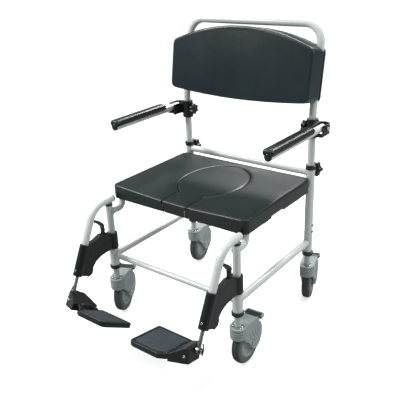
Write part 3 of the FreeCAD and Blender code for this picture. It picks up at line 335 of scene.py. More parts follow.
WHITE = powder_coat("white_powder_coat")
SKIN = skin("pu_skin", base=(0.0100, 0.0162, 0.0158), light=(0.0185, 0.0285, 0.0275),
            rough=(0.27, 0.38), scale=330)
BACK_SKIN = skin("backrest_skin", base=(0.0095, 0.0185, 0.0230),
                 light=(0.0160, 0.0300, 0.0365), rough=(0.26, 0.40), scale=300)
PAD_SKIN = skin("arm_pad_skin", base=(0.0095, 0.0115, 0.0125), light=(0.018, 0.021, 0.023),
                rough=(0.24, 0.38), scale=420)
# edge colour: painted highlight on convex edges
BLACK = moulded("black_nylon", base=(0.0085, 0.0105, 0.0110), light=(0.015, 0.018, 0.0185),
                rough=(0.30, 0.46), grain=1100, edge=(0.075, 0.080, 0.085))
BLACK_SMOOTH = moulded("black_gloss_nylon", base=(0.0075, 0.0085, 0.0090),
                       light=(0.013, 0.0145, 0.0155), rough=(0.20, 0.34), grain=700)
# edge colour: painted highlight on convex edges; the darker colour after it: painted shade where surfaces meet
GREY = moulded("caster_grey", base=(0.345, 0.39, 0.395), light=(0.41, 0.455, 0.46),
               rough=(0.30, 0.44), grain=900, edge=(0.52, 0.56, 0.58),
               shade_color=(0.09, 0.10, 0.10), shade_amount=0.75)
# edge colour: painted highlight on convex edges; the darker colour after it: painted shade where surfaces meet
HUB = moulded("hub_light_grey", base=(0.43, 0.47, 0.475), light=(0.51, 0.55, 0.555),
              rough=(0.28, 0.42), grain=900, edge=(0.62, 0.66, 0.67), edge_highlight_amount=0.4,
              shade_color=(0.12, 0.13, 0.13), shade_amount=0.8)
PEDAL_DARK = moulded("pedal_dark", base=(0.020, 0.032, 0.036), light=(0.032, 0.048, 0.052),
                     rough=(0.30, 0.42), grain=800)
TYRE = rubber("tyre_grey_rubber", base=(0.064, 0.071, 0.069), light=(0.092, 0.100, 0.097),
              scale=260, wall=(0.165, 0.182, 0.184))
INLAY = rubber("inlay_blue_grey_rubber", base=(0.050, 0.066, 0.078),
               light=(0.066, 0.084, 0.097), scale=500)
# spare material, on no piece
metal("brushed_steel_tube", base=(0.62, 0.63, 0.64), rough=(0.18, 0.34), stretch=(1, 1, 60),
      scale=120)
ROD = metal("rod_steel", base=(0.50, 0.50, 0.49), rough=(0.22, 0.38), stretch=(1, 1, 30),
            scale=160)
CHROME = metal("chrome_fastener", base=(0.80, 0.81, 0.82), rough=(0.06, 0.16),
               stretch=(1, 1, 1), scale=60)
# edge colour: painted highlight on convex edges; the darker colour after it: painted shade where surfaces meet
LEG = moulded("leg_tube_paint", base=(0.62, 0.64, 0.61), light=(0.70, 0.72, 0.69),
              rough=(0.26, 0.40), grain=500, edge=(0.80, 0.80, 0.78), edge_highlight_amount=0.2,
              shade_color=(0.20, 0.21, 0.19), shade_amount=0.8)
PAN = pan_plastic("pan_polypropylene")


# ------------------------------------------------------------------ mesh tools
def mesh_from(name, verts, faces):
    mesh = bpy.data.meshes.new(name)
    mesh.from_pydata([tuple(v) for v in verts], [], [tuple(f) for f in faces])
    mesh.validate()
    mesh.update()
    return mesh


def get_points(mesh):
    points = np.zeros(len(mesh.vertices) * 3)
    mesh.vertices.foreach_get("co", points)
    return points.reshape(-1, 3)


def get_normals(mesh):
    normals = np.zeros(len(mesh.vertices) * 3)
    mesh.vertex_normals.foreach_get("vector", normals)
    return normals.reshape(-1, 3)


def set_points(mesh, points):
    mesh.vertices.foreach_set("co", points.astype(np.float32).ravel())
    mesh.update()


def welded(name, verts, faces, tolerance=1e-6):
    bm = bmesh.new()
    corners = [bm.verts.new(v) for v in verts]
    for face in faces:
        # a face that is already there, or names a corner twice, is skipped
        try:
            bm.faces.new([corners[i] for i in face])
        except ValueError:
            pass
    bmesh.ops.remove_doubles(bm, verts=bm.verts, dist=tolerance)
    bmesh.ops.recalc_face_normals(bm, faces=bm.faces)
    mesh = bpy.data.meshes.new(name)
    bm.to_mesh(mesh)
    bm.free()
    return mesh


def softened(mesh, rounds, voxel=None):
    """Smoothed copy of a mesh, skinned with voxels first if a size is given."""
    work = add_object("work", mesh)
    if voxel:
        remesh = work.modifiers.new("remesh", "REMESH")
        remesh.mode = "VOXEL"
        remesh.voxel_size = voxel
        remesh.use_smooth_shade = True
    smooth = work.modifiers.new("smooth", "SMOOTH")
    smooth.factor = 0.5
    smooth.iterations = rounds
    depsgraph = bpy.context.evaluated_depsgraph_get()
    depsgraph.update()
    result = bpy.data.meshes.new_from_object(work.evaluated_get(depsgraph))
    bpy.data.objects.remove(work)
    return result


def mould(name, cad, voxel, rounds, matrix=None, shape=None):
    """Rounded version of a CAD node, then shape(points, normals) in the matrix's frame."""
    source = NODES[cad].data
    inverse = matrix.inverted() if matrix is not None else Matrix.Identity(4)
    points = (np.array(inverse.to_3x3()) @ get_points(source).T).T
    points = points + np.array(inverse.translation)
    raw = welded(name + "_raw", points, [tuple(p.vertices) for p in source.polygons])
    mesh = softened(raw, rounds, voxel * COARSEN)
    if shape is not None:
        set_points(mesh, shape(get_points(mesh), get_normals(mesh)))
    mesh.name = name
    return mesh


def place(name, mesh, material, body, matrix=None, cad=None, smooth=True):
    obj = add_object(name, mesh)
    if matrix is not None:
        obj.matrix_world = matrix
    mesh.materials.clear()
    mesh.materials.append(material)
    if smooth:
        for polygon in mesh.polygons:
            polygon.use_smooth = True
    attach(obj, body)
    if cad:
        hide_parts(cad)


def moulding(name, cad, material, body, voxel, rounds, matrix=None,
             shape=None):
    """Mould a CAD node and put the result in its place."""
    mesh = mould(name, cad, voxel, rounds, matrix, shape)
    place(name, mesh, material, body, matrix, cad)


def mirrored(mesh, name):
    result = mesh.copy()
    result.name = name
    points = get_points(result)
    points[:, 0] *= -1
    set_points(result, points)
    result.flip_normals()
    return result


def place_pair(cad, mesh, material, body):
    """Left piece as built and its mirror image on the right."""
    for side, piece in (("_left", mesh), ("_right", mirrored(mesh, cad + "_r"))):
        place(cad + "_moulding" + side, piece, material, body + side, None, cad + side)


def lathe(name, profile, axis, segments, closed=False):
    """Turned piece. profile: (radius, distance along the axis) in metres."""
    count = len(profile)
    verts, faces = [], []
    for i in range(segments):
        angle = 2 * math.pi * i / segments
        for radius, h in profile:
            x, y = radius * math.cos(angle), radius * math.sin(angle)
            verts.append({"Z": (x, y, h), "X": (h, x, y), "Y": (y, h, x)}[axis])
    for i in range(segments):
        j = (i + 1) % segments
        for k in range(count if closed else count - 1):
            after = (k + 1) % count
            faces.append((i * count + k, j * count + k, j * count + after, i * count + after))
    return welded(name, verts, faces, 1e-7)


def solid_tube(name, points, radius, ring, factors=None, closed=True):
    """Round bar along a list of points; factors scale the radius at each one."""
    points = [Vector(p) for p in points]
    count = len(points)
    verts, faces = [], []
    side = Vector((0.123, 0.456, 0.881)).normalized()   # any direction off the path
    for i, point in enumerate(points):
        if closed:
            along = (points[(i + 1) % count] - points[i - 1]).normalized()
        else:
            along = (points[min(i + 1, count - 1)] - points[max(i - 1, 0)]).normalized()
        side = (side - along * side.dot(along)).normalized()
        other = along.cross(side)
        r = radius * (factors[i] if factors is not None else 1.0)
        for k in range(ring):
            angle = 2 * math.pi * k / ring
            verts.append(point + side * (r * math.cos(angle)) + other * (r * math.sin(angle)))
    shift = 0
    if closed:
        # the ring may have turned on its way round: join to the nearest corner
        last = verts[(count - 1) * ring]
        shift = min(range(ring), key=lambda k: (verts[k] - last).length)
    for i in range(count if closed else count - 1):
        j = (i + 1) % count
        turn = shift if j == 0 else 0
        for k in range(ring):
            after = (k + 1) % ring
            faces.append((i * ring + k, i * ring + after,
                          j * ring + (k + 1 + turn) % ring, j * ring + (k + turn) % ring))
    if not closed:
        faces.append(tuple(range(ring - 1, -1, -1)))
        faces.append(tuple((count - 1) * ring + k for k in range(ring)))
    return mesh_from(name, verts, faces)


def aimed(at, normal):
    """Matrix that puts a piece at a point with its Z along normal."""
    turn = Vector((0, 0, 1)).rotation_difference(Vector(normal).normalized())
    return Matrix.Translation(at) @ turn.to_matrix().to_4x4()


def screw_head(name, at, normal, radius, body, material=CHROME, flatness=0.35):
    """Domed head with a round socket. flatness: nominal height over diameter."""
    height = flatness * 2 * radius
    profile = [(0.0, -0.25 * radius), (0.42 * radius, -0.25 * radius),
               (0.42 * radius, 0.75 * height), (0.60 * radius, 0.80 * height),
               (0.85 * radius, 0.55 * height), (radius, 0.15 * height),
               (radius, -0.3 * radius)]
    place(name, lathe(name, profile, "Z", 24), material, body, aimed(at, normal))


def turn_angles(count):
    return np.linspace(0, 2 * math.pi, count + 1)[:-1]


def unit(values):
    return np.clip(values, 0, 1)


def fade(values):
    """Quarter cosine: 1 at 0, 0 at 1."""
    return np.cos(unit(values) * math.pi / 2)


def finish_cad(name, material, bevel=0.0):
    """Keep a CAD node, with its material, an edge rounding and smooth shading."""
    obj = NODES[name]
    obj.data.materials.clear()
    obj.data.materials.append(material)
    weld = obj.modifiers.new("weld", "WELD")
    weld.merge_threshold = 1e-6
    if bevel:
        edge = obj.modifiers.new("edge", "BEVEL")
        edge.width = bevel
        edge.segments = 2
        edge.limit_method = "ANGLE"
        edge.angle_limit = math.radians(30)
        edge.harden_normals = False
    for polygon in obj.data.polygons:
        polygon.use_smooth = True
    split = obj.modifiers.new("split", "EDGE_SPLIT")
    split.split_angle = math.radians(38)


# ------------------------------------------------------------------ tube frame
finish_cad("main_frame", WHITE)
finish_cad("push_bar", WHITE)
for side, _ in SIDES:
    finish_cad("hanger_tube_" + side, WHITE)
    finish_cad("arm_tube_" + side, WHITE)
    finish_cad("foot_rod_" + side, ROD, bevel=0.0004)
for corner in CORNERS:
    finish_cad("leg_tube_" + corner, LEG)
    finish_cad("caster_axle_" + corner, CHROME, bevel=0.0006)
finish_cad("leg_collars", BLACK_SMOOTH, bevel=0.0012)
finish_cad("post_bushes", BLACK_SMOOTH, bevel=0.0010)
finish_cad("pan_guides", BLACK, bevel=0.0006)
finish_cad("seat_clips", BLACK, bevel=0.0006)

# joint, y, z, direction (inward, y), tube radius, radius it meets, outward offset; mm
WELDS = (
    ("side_rail_front", -POST_Y, 260, (0, 1), 12.5, 17, 0),
    ("side_rail_rear", POST_Y, 260, (0, -1), 12.5, 15, 0),
    ("front_cross", -POST_Y, 260, (1, 0), 10, 17, 0),
    ("rear_cross", POST_Y, 532, (1, 0), 12.5, 15, 0),
    ("seat_rail_front", -POST_Y, 431, (0, 1), 11, 12.5, 6.0),
)
SLEEVE_WELD_R, SLEEVE_WELD_Z = 13.2, 288.2      # millimetres


def weld_bead(name, centre, toward, tube_radius, post_radius, offset):
    """Rippled bead where a tube meets a post."""
    toward = Vector(toward).normalized()
    up = Vector((0, 0, 1))
    across = up.cross(toward)
    points, factors = [], []
    count = 150
    for i in range(count):
        t = 2 * math.pi * i / count
        width = (tube_radius + 0.4) * math.cos(t) + offset
        reach = math.sqrt(max((post_radius + 0.2) ** 2 - width * width, 0.01))
        point = toward * reach + across * width + up * ((tube_radius + 0.4) * math.sin(t))
        points.append(centre + point / 1000.0)
        factors.append(1.0 + 0.16 * math.sin(46 * t) + 0.08 * math.sin(7 * t + 1.3))
    place(name, solid_tube(name, points, 0.0019, 8, factors), WHITE, "frame")


for side, sx in SIDES:
    for joint, y, z, (inward, along), tube_radius, post_radius, offset in WELDS:
        weld_bead("weld_%s_%s" % (joint, side), chair(sx * POST_X, y, z),
                  (-sx * inward, along, 0), tube_radius, post_radius, sx * offset)
    ring = [chair(sx * POST_X + SLEEVE_WELD_R * math.cos(t),
                  -POST_Y + SLEEVE_WELD_R * math.sin(t), SLEEVE_WELD_Z)
            for t in turn_angles(96)]
    name = "weld_sleeve_" + side
    place(name, solid_tube(name, ring, 0.0014, 8), WHITE, "frame")

# radius, height; metres
GROMMET = [(0.0, 0.0006), (0.0012, 0.0007), (0.0019, 0.0015), (0.0026, 0.0024),
           (0.0036, 0.0022), (0.0042, 0.0012), (0.0044, 0.0), (0.0040, -0.0010),
           (0.0, -0.0010)]
EYELET = [(0.0, -0.0003), (0.0014, -0.0003), (0.0018, 0.0002), (0.0024, 0.0004),
          (0.0030, 0.0002), (0.0032, -0.0004), (0.0, -0.0004)]
GROMMET_X = 282.9
GROMMET_HEIGHTS = (305, 330)
PUSH_BAR_R = 0.0124
# height, bar's setback behind the post, both mm; bar's lean in degrees
EYELETS = ((743, 0.1, 2.0), (756, 1.1, 7.0), (769, 3.2, 9.7))

# grommets on the outer side of the rear posts, eyelets on the front of the push bar
for side, sx in SIDES:
    for k, z in enumerate(GROMMET_HEIGHTS):
        name = "post_grommet_%s_%d" % (side, k)
        place(name, lathe(name, GROMMET, "Z", 28), BLACK_SMOOTH, "frame",
              aimed(chair(sx * GROMMET_X, POST_Y, z), (sx, 0, 0)))
    for k, (z, setback, lean) in enumerate(EYELETS):
        name = "push_bar_eyelet_%s_%d" % (side, k)
        normal = Vector((0, -math.cos(math.radians(lean)), math.sin(math.radians(lean))))
        at = chair(sx * POST_X, POST_Y + setback, z) + normal * PUSH_BAR_R
        place(name, lathe(name, EYELET, "Z", 24), LEG, "backrest", aimed(at, normal))

# ------------------------------------------------------------------ seat
seat_low, seat_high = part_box("seat")
SEAT_TOP, SEAT_FRONT, SEAT_BACK = seat_high.z, seat_low.y, seat_high.y
# keyhole seam, metres: an oval with a straight-sided mouth to the front
SEAM_HALF_WIDTH, SEAM_HALF_LENGTH = 0.1165, 0.150
SEAM_Y = ORIGIN_Y + 0.030
MOUTH_HALF_WIDTH = 0.052
MOUTH_REACH = 0.134             # from the oval's centre to the back end of the mouth lines
DISH_DEPTH = 0.0092


def dish(points):
    """Sitting hollow: lowest at the middle of the front edge."""
    x, y, z = points.T
    across = fade(np.abs(x) / 0.262) ** 1.3
    depth = unit((y - SEAT_FRONT) / (SEAT_BACK - SEAT_FRONT))
    along = 0.62 + 0.38 * fade(depth / 0.9)
    rear = 1 - unit((depth - 0.82) / 0.18) ** 2
    near_top = unit((z - (SEAT_TOP - 0.030)) / 0.028)
    out = points.copy()
    out[:, 2] -= DISH_DEPTH * across * along * rear * near_top
    return out


def seam_distance(x, y):
    """Distance to the keyhole outline, in metres."""
    t = turn_angles(360)
    oval_x, oval_y = SEAM_HALF_WIDTH * np.cos(t), SEAM_Y + SEAM_HALF_LENGTH * np.sin(t)
    keep = ~((np.abs(oval_x) < MOUTH_HALF_WIDTH) & (oval_y < SEAM_Y))
    lines = [np.stack([oval_x[keep], oval_y[keep]], 1)]
    mouth_y = np.linspace(SEAT_FRONT - 0.01, SEAM_Y - MOUTH_REACH, 90)
    for sx in (1, -1):
        lines.append(np.stack([np.full(90, sx * MOUTH_HALF_WIDTH), mouth_y], 1))
    seam = np.vstack(lines)
    out = np.full(len(x), 1.0)
    points = np.stack([x, y], 1)
    batch = 20000               # keeps the distance table small
    for i in range(0, len(points), batch):
        gaps = points[i:i + batch][:, None, :] - seam[None, :, :]
        out[i:i + batch] = np.sqrt((gaps ** 2).sum(2).min(1))
    return out


def rolled(points, normals, groove):
    """Dished top with a groove along the seam, deeper and wider on the left."""
    out = dish(points)
    top = (points[:, 2] > SEAT_TOP - 0.014) & (normals[:, 2] > -0.2)
    gap = seam_distance(points[top, 0], points[top, 1])
    left = unit(points[top, 0] / 0.03)
    width = 0.0036 + 0.0020 * left
    out[top, 2] -= (groove * (0.55 + 0.45 * left)) * np.exp(-(gap / width) ** 1.6)
    return out


def seat_shape(points, normals):
    return rolled(points, normals, groove=0.0020)


def plug_shape(points, normals):
    """The plug is slightly crowned, lower on its left."""
    out = rolled(points, normals, groove=0.0034)
    x, y, z = points.T
    near_top = unit((z - (SEAT_TOP - 0.012)) / 0.010)
    crown = unit(1 - (x / 0.112) ** 2) * unit(1 - ((y - ORIGIN_Y - 0.03) / 0.15) ** 2)
    out[:, 2] += near_top * (0.0016 * crown - 0.0008 * unit(x / 0.1))
    return out


moulding("seat_moulding", "seat", SKIN, "seat", voxel=0.0022, rounds=5,
         shape=seat_shape)
moulding("seat_plug_moulding", "seat_plug", SKIN, "plug", voxel=0.0022, rounds=5,
         shape=plug_shape)

# thin shields behind the two front gaps of the plug
SHIELD_X = (0.0390, 0.0470)
SHIELD_Y = (SEAT_FRONT + 0.0064, SEAT_FRONT + 0.0078)
SHIELD_Z = (chair(0, 0, 471.5).z, chair(0, 0, 487.0).z)
SHIELD_STEPS = 8
for k, sx in enumerate((1, -1)):
    start, end = sx * SHIELD_X[0], sx * SHIELD_X[1]
    (y0, y1), (z0, z1) = SHIELD_Y, SHIELD_Z
    verts, faces = [], []
    for t in np.linspace(0, 1, SHIELD_STEPS + 1):
        x = start + (end - start) * t
        bow = 0.0006 * math.sin(math.pi * t)
        verts += [(x, y0 - bow, z0), (x, y1, z0), (x, y1, z1), (x, y0 - bow, z1)]
    for i in range(SHIELD_STEPS):
        for j in range(4):
            after = (j + 1) % 4
            faces.append((i * 4 + j, i * 4 + after, (i + 1) * 4 + after, (i + 1) * 4 + j))
    end_face = SHIELD_STEPS * 4
    faces += [(3, 2, 1, 0), tuple(range(end_face, end_face + 4))]
    name = "seat_gap_shield_%d" % k
    place(name, welded(name, verts, faces), SKIN, "seat", smooth=False)

# ------------------------------------------------------------------ backrest
back_matrix = (Matrix.Translation(chair(0, POST_Y, 750))
               @ Matrix.Rotation(-math.radians(BACK_LEAN), 4, "X"))


def panel_shape(points, normals):
    """Front face puffed out towards its middle."""
    out = points.copy()
    x, _, z = points.T
    front = unit(-normals[:, 1]) ** 2
    puff = fade(np.abs(x) / 0.275) * np.sin(unit((z - 0.02) / 0.225) * math.pi)
    out[:, 1] -= front * 0.0035 * unit(puff)
    return out


def cover_shape(points, normals):
    """Rear face with a sunk field and two shallow channels across it."""
    out = points.copy()
    x, _, z = points.T
    back = unit(normals[:, 1]) ** 2
    field = np.minimum(unit((0.225 - np.abs(x)) / 0.006),
                       unit(np.minimum(z - 0.045, 0.205 - z) / 0.006))
    out[:, 1] -= back * 0.0022 * field
    for channel_z in (0.100, 0.150):
        channel = np.exp(-((z - channel_z) / 0.0035) ** 2)
        out[:, 1] -= back * 0.0016 * channel * unit((0.205 - np.abs(x)) / 0.01)
    return out


moulding("backrest_front_panel", "backrest_panel", BACK_SKIN, "backrest", voxel=0.0030,
         rounds=7, matrix=back_matrix, shape=panel_shape)
moulding("backrest_rear_cover", "backrest_cover", BLACK, "backrest", voxel=0.0026, rounds=4,
         matrix=back_matrix, shape=cover_shape)

BACK_SCREWS = ((-0.248, 0.055), (0.248, 0.055), (-0.248, 0.178), (0.248, 0.178))  # x, z
for i, (x, z) in enumerate(BACK_SCREWS):
    screw_head("backrest_screw_%d" % i, back_matrix @ Vector((x, 0.0188, z)),
               back_matrix.to_3x3() @ Vector((0, 1, 0)), 0.0045, "backrest")

# ------------------------------------------------------------------ armrests
PAD_WIDTH = 0.040
PAD_NOSE = 0.013                # length of each domed end
PAD_POWER = 3.0                 # of the section's superellipse
PAD_SEGMENTS, PAD_ROWS = 56, 72
ARM_TUBE_R = 0.0126
pad_low, pad_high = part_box("arm_pad_left")


def pad_bar(y0, y1, z0, z1):
    """Left pad: bar along Y with an oval-cornered section and domed ends."""
    centre_x = chair(ARM_X, 0, 0).x
    centre_z, half_z, half_x = (z0 + z1) / 2, (z1 - z0) / 2, PAD_WIDTH / 2
    length = y1 - y0
    verts, faces = [], []
    for i in range(PAD_ROWS + 1):
        u = 0.5 - 0.5 * math.cos(math.pi * (i / PAD_ROWS))
        from_end = min(u, 1 - u) * length
        if from_end <= 1e-9:
            wide, tall = 0.55, 0.34
        else:
            dome = 1.0
            if from_end < PAD_NOSE:
                dome = (1 - ((PAD_NOSE - from_end) / PAD_NOSE) ** 2.4) ** (1 / 2.4)
            wide = 1 - (1 - dome) * 0.42
            tall = 1 - (1 - dome) * 0.62
        for j in range(PAD_SEGMENTS):
            angle = 2 * math.pi * j / PAD_SEGMENTS
            cosine, sine = math.cos(angle), math.sin(angle)
            x = half_x * wide * math.copysign(abs(cosine) ** (2 / PAD_POWER), cosine)
            z = half_z * tall * math.copysign(abs(sine) ** (2 / PAD_POWER), sine)
            z -= (1 - tall) * half_z * 0.25
            if sine > 0:        # gently crowned top
                z -= 0.0016 * (abs(x) / half_x) ** 2
            verts.append((centre_x + x, y0 + length * u, centre_z + z))
    for i in range(PAD_ROWS):
        for j in range(PAD_SEGMENTS):
            a, b = i * PAD_SEGMENTS + j, i * PAD_SEGMENTS + (j + 1) % PAD_SEGMENTS
            faces.append((a, a + PAD_SEGMENTS, b + PAD_SEGMENTS, b))
    faces.append(tuple(range(PAD_SEGMENTS)))
    faces.append(tuple(PAD_ROWS * PAD_SEGMENTS + j for j in range(PAD_SEGMENTS - 1, -1, -1)))
    return softened(welded("arm_pad", verts, faces), rounds=3)


def seat_on_tube(mesh):
    """Raise the pad's underside to the crown of the arm tube."""
    points = get_points(mesh)
    tube_z = chair(0, 0, ARM_Z).z
    x = points[:, 0] - ARM_X / 1000
    z = points[:, 2] - tube_z
    under = (z < 0.0128) & (np.abs(x) < 0.0135)
    crown = np.sqrt(np.clip(ARM_TUBE_R ** 2 - x ** 2, 0, None))
    points[:, 2] = np.where(under, np.maximum(z, crown), z) + tube_z
    set_points(mesh, points)


arm_pad = pad_bar(pad_low.y + 0.0005, pad_high.y, chair(0, 0, ARM_Z + 1.2).z, pad_high.z)
seat_on_tube(arm_pad)

# radius, y; metres; domed to the front
ARM_PLUG = [(0.0, -0.0072), (0.0050, -0.0070), (0.0090, -0.0060), (0.0112, -0.0046),
            (0.0122, -0.0030), (ARM_TUBE_R, -0.0012), (ARM_TUBE_R, 0.0), (0.0, 0.0)]
for side, sx in SIDES:
    name = "arm_end_plug_" + side
    at = Vector((sx * ARM_X / 1000, pad_low.y + 0.0060, chair(0, 0, ARM_Z).z))
    place(name, lathe(name, ARM_PLUG, "Y", 48), BLACK_SMOOTH, "arm_" + side,
          Matrix.Translation(at))
place_pair("arm_pad", arm_pad, PAD_SKIN, "arm")
place_pair("arm_clamp", mould("arm_clamp", "arm_clamp_left", voxel=0.0013, rounds=3), BLACK,
           "arm_clamp")
for side, sx in SIDES:
    screw_head("arm_pivot_bolt_" + side, chair(sx * 335.2, PIVOT_Y, ARM_Z), (sx, 0, 0),
               0.0066, "arm_clamp_" + side, flatness=0.22)

for side, sx in SIDES:
    for part in ("backrest", "arm"):
        cad = "%s_knob_%s" % (part, side)
        moulding("%s_hand_knob_%s" % (part, side), cad, BLACK_SMOOTH, BODY_OF[cad],
                 voxel=0.0010, rounds=3)
    screw_head("backrest_knob_insert_" + side, chair(sx * POST_X, 274.0, 535), (0, 1, 0),
               0.0072, "backrest_knob_" + side, BLACK, flatness=0.2)
    screw_head("arm_knob_insert_" + side, chair(sx * 231.4, POST_Y, 695), (-sx, 0, 0),
               0.0055, "arm_knob_" + side, BLACK, flatness=0.2)

# ------------------------------------------------------------------ legrests
place_pair("hanger_bracket", mould("hanger_bracket", "hanger_bracket_left", voxel=0.0014,
                                   rounds=4), BLACK, "hanger")
place_pair("release_lever", mould("release_lever", "release_lever_left", voxel=0.0011,
                                  rounds=4), BLACK_SMOOTH, "lever")

# radius, y; metres; domed to the rear
HANGER_PLUG = [(0, 0.0042), (0.006, 0.0040), (0.0105, 0.0028), (0.0126, 0.0004),
               (0.0128, -0.0012), (0.0128, -0.0026), (0.0, -0.0026)]
slope = math.radians(HANGER_SLOPE)
hanger_down = Vector((0, -math.sin(slope), -math.cos(slope)))
hanger_front = Vector((0, -math.cos(slope), math.sin(slope)))
for side, sx in SIDES:
    at = chair(sx * POST_X, -360, 357) + hanger_down * 0.092 + hanger_front * 0.0158
    screw_head("sleeve_set_screw_" + side, at, hanger_front, 0.0042, "hanger_" + side,
               flatness=0.3)
    name = "hanger_end_plug_" + side
    place(name, lathe(name, HANGER_PLUG, "Y", 48), BLACK_SMOOTH, "hanger_" + side,
          Matrix.Translation(chair(sx * POST_X, -211.3, 475)))

RIDGE_PITCH, RIDGE_HEIGHT = 0.0058, 0.0004
BREAK_PITCH = 0.028


def inlay_shape(points, normals):
    """Fine ridges along Y, interrupted at even steps."""
    x, y, _ = points.T
    top = unit(normals[:, 2]) ** 2
    ridge = 0.5 + 0.5 * np.cos(2 * math.pi * x / RIDGE_PITCH)
    breaks = unit(np.abs(((y / BREAK_PITCH) % 1.0) - 0.5) * 14 - 0.8)
    points[:, 2] += top * RIDGE_HEIGHT * unit(ridge * 2 - 0.7) * breaks
    return points


for side, sx in SIDES:
    pivot = JOINTS["footplate_angle_" + side]["pos_m"]
    tilted = (Matrix.Translation((0, pivot[1], pivot[2]))
              @ Matrix.Rotation(math.radians(-FOOT_TILT[side]), 4, "X"))
    plate, lug = "footplate_" + side, "lug_" + side
    moulding("footplate_moulding_" + side, plate, BLACK, plate, voxel=0.0016, rounds=3,
             matrix=tilted)
    moulding("foot_lug_moulding_" + side, "foot_" + lug, BLACK, lug, voxel=0.0014, rounds=4,
             matrix=tilted)
    moulding("footplate_inlay_" + side, "footplate_pad_" + side, INLAY, plate, voxel=0.0007,
             rounds=2, matrix=tilted, shape=inlay_shape)
    screw_head("lug_cross_screw_" + side, tilted @ Vector((sx * 0.246, -0.0362, -0.016)),
               tilted.to_3x3() @ Vector((sx * 0.42, -0.907, 0)), 0.0046, lug)
    # thin bowed strip on the outer side of the lug
    strip = [tilted @ Vector((sx * (0.2815 + 0.0030 * math.sin(t * math.pi)),
                              0.002 + 0.001 * t, -0.013 + 0.037 * t))
             for t in np.linspace(0, 1, 18)]
    name = "lug_strip_" + side
    place(name, solid_tube(name, strip, 0.0021, 8, closed=False), BLACK_SMOOTH, lug)
    screw_head("lug_pin_head_" + side, tilted @ Vector((sx * 0.2800, 0, 0)), (sx, 0, 0),
               0.0070, lug, flatness=0.18)


# ------------------------------------------------------------------ casters
def caster_matrix(corner):
    """Swivel at the origin, axle along X, wheel on the +Y side."""
    swivel = JOINTS["caster_swivel_" + corner]["pos_m"]
    axle = JOINTS["wheel_spin_" + corner]["axis"]
    return (Matrix.Translation((swivel[0], swivel[1], 0))
            @ Matrix.Rotation(math.atan2(axle[1], axle[0]), 4, "Z"))


def polyline_distance(points, line):
    """Distance of 2-D points to a polyline, and how far along it, 0 to 1."""
    nearest = np.full(len(points), 1e9)
    progress = np.zeros(len(points))
    count = len(line) - 1
    for i in range(count):
        start, end = np.array(line[i]), np.array(line[i + 1])
        span = end - start
        t = np.clip(((points - start) @ span) / (span @ span), 0, 1)
        distance = np.linalg.norm(points - (start + t[:, None] * span), axis=1)
        closer = distance < nearest
        nearest[closer] = distance[closer]
        progress[closer] = (i + t[closer]) / count
    return nearest, progress


def bowed_line(y0, z0, y1, z1, bow):
    """Line in the YZ plane, bowed sideways. Millimetres in, metres out."""
    normal = np.array([-(z1 - z0), y1 - y0])
    normal = normal / np.linalg.norm(normal)
    points = []
    for t in np.linspace(0, 1, 16):
        y, z = y0 + (y1 - y0) * t, z0 + (z1 - z0) * t
        push = bow * math.sin(math.pi * t)
        points.append(((y + normal[0] * push) / 1000, (z + normal[1] * push) / 1000))
    return points


# start y, z, end y, z, bow; millimetres
SWIRLS = [bowed_line(*row) for row in (
    (30, 126, 52, 86, -8), (47, 132, 70, 84, -9), (64, 136, 88, 78, -10),
    (82, 136, 102, 76, -9))]
GROOVES_LOW, GROOVES_HIGH = 0.1290, 0.1575
GROOVE_PITCH = 0.0095


def fork_shape(points, normals):
    out = points.copy()
    x, y, z = points.T
    # curved grooves on both cheeks, and one round the axle boss
    cheek = unit((np.abs(x) - 0.0200) / 0.003) * unit(np.abs(normals[:, 0]) * 1.4 - 0.2)
    push = np.zeros(len(points))
    for line in SWIRLS:
        distance, t = polyline_distance(np.stack([y, z], 1), line)
        depth = np.sin(np.clip(t, 0.02, 0.98) * math.pi) ** 0.6
        push += 0.0019 * np.exp(-(distance / 0.0026) ** 2) * depth
    from_axle = np.hypot(y - TRAIL, z - WHEEL_R)
    push += 0.0013 * np.exp(-((from_axle - 0.0125) / 0.0016) ** 2)
    out -= normals * (push * cheek)[:, None]
    # three grooves round the head, on the side away from the wheel
    from_stem = np.hypot(x, y)
    front = (unit((0.002 - y) / 0.010) * unit((from_stem - 0.0235) / 0.002)
             * unit(1.15 - np.abs(normals[:, 2]) * 1.6))
    window = unit((z - GROOVES_LOW) / 0.001) * unit((GROOVES_HIGH - z) / 0.001)
    wave = (0.5 - 0.5 * np.cos(2 * math.pi * (z - GROOVES_LOW) / GROOVE_PITCH)) ** 1.6
    out -= normals * (0.0021 * wave * front * window)[:, None]
    # narrower below them
    taper = unit((GROOVES_LOW - z) / 0.012) * unit((0.004 - y) / 0.008) * 0.10
    out[:, 0] -= x * taper
    out[:, 1] -= y * taper
    # shallow pan round the stem on the top face
    top = unit(normals[:, 2] * 2 - 1) * unit((z - 0.1615) / 0.001)
    out[:, 2] -= 0.0012 * top * unit((0.0185 - from_stem) / 0.002)
    return out


def both_sides(half, middle=()):
    """Profile from one half: (radius, distance from the wheel's mid plane)."""
    return [(r, -w) for r, w in half] + list(middle) + [(r, w) for r, w in reversed(half)]


def tyre_mesh():
    """Tyre; its attribute side_wall is 1 on the paler walls, 0 on the tread."""
    half = [(0.0542, 0.0145), (0.0560, 0.0157), (0.0600, 0.0160), (0.0655, 0.0158),
            (0.0695, 0.0146), (0.0725, 0.0118), (0.0741, 0.0082), (0.0747, 0.0062),
            (0.0738, 0.0056), (0.0738, 0.0044), (0.0749, 0.0038)]
    mesh = lathe("tyre", both_sides(half, [(WHEEL_R, 0.0)]), "X", 144, closed=True)
    x, y, z = get_points(mesh).T
    pale = unit((np.abs(x) - 0.0125) / 0.0020) * unit((0.0722 - np.hypot(y, z)) / 0.0015)
    wall = mesh.attributes.new("side_wall", "FLOAT", "POINT")
    wall.data.foreach_set("value", pale.astype(np.float32))
    return mesh


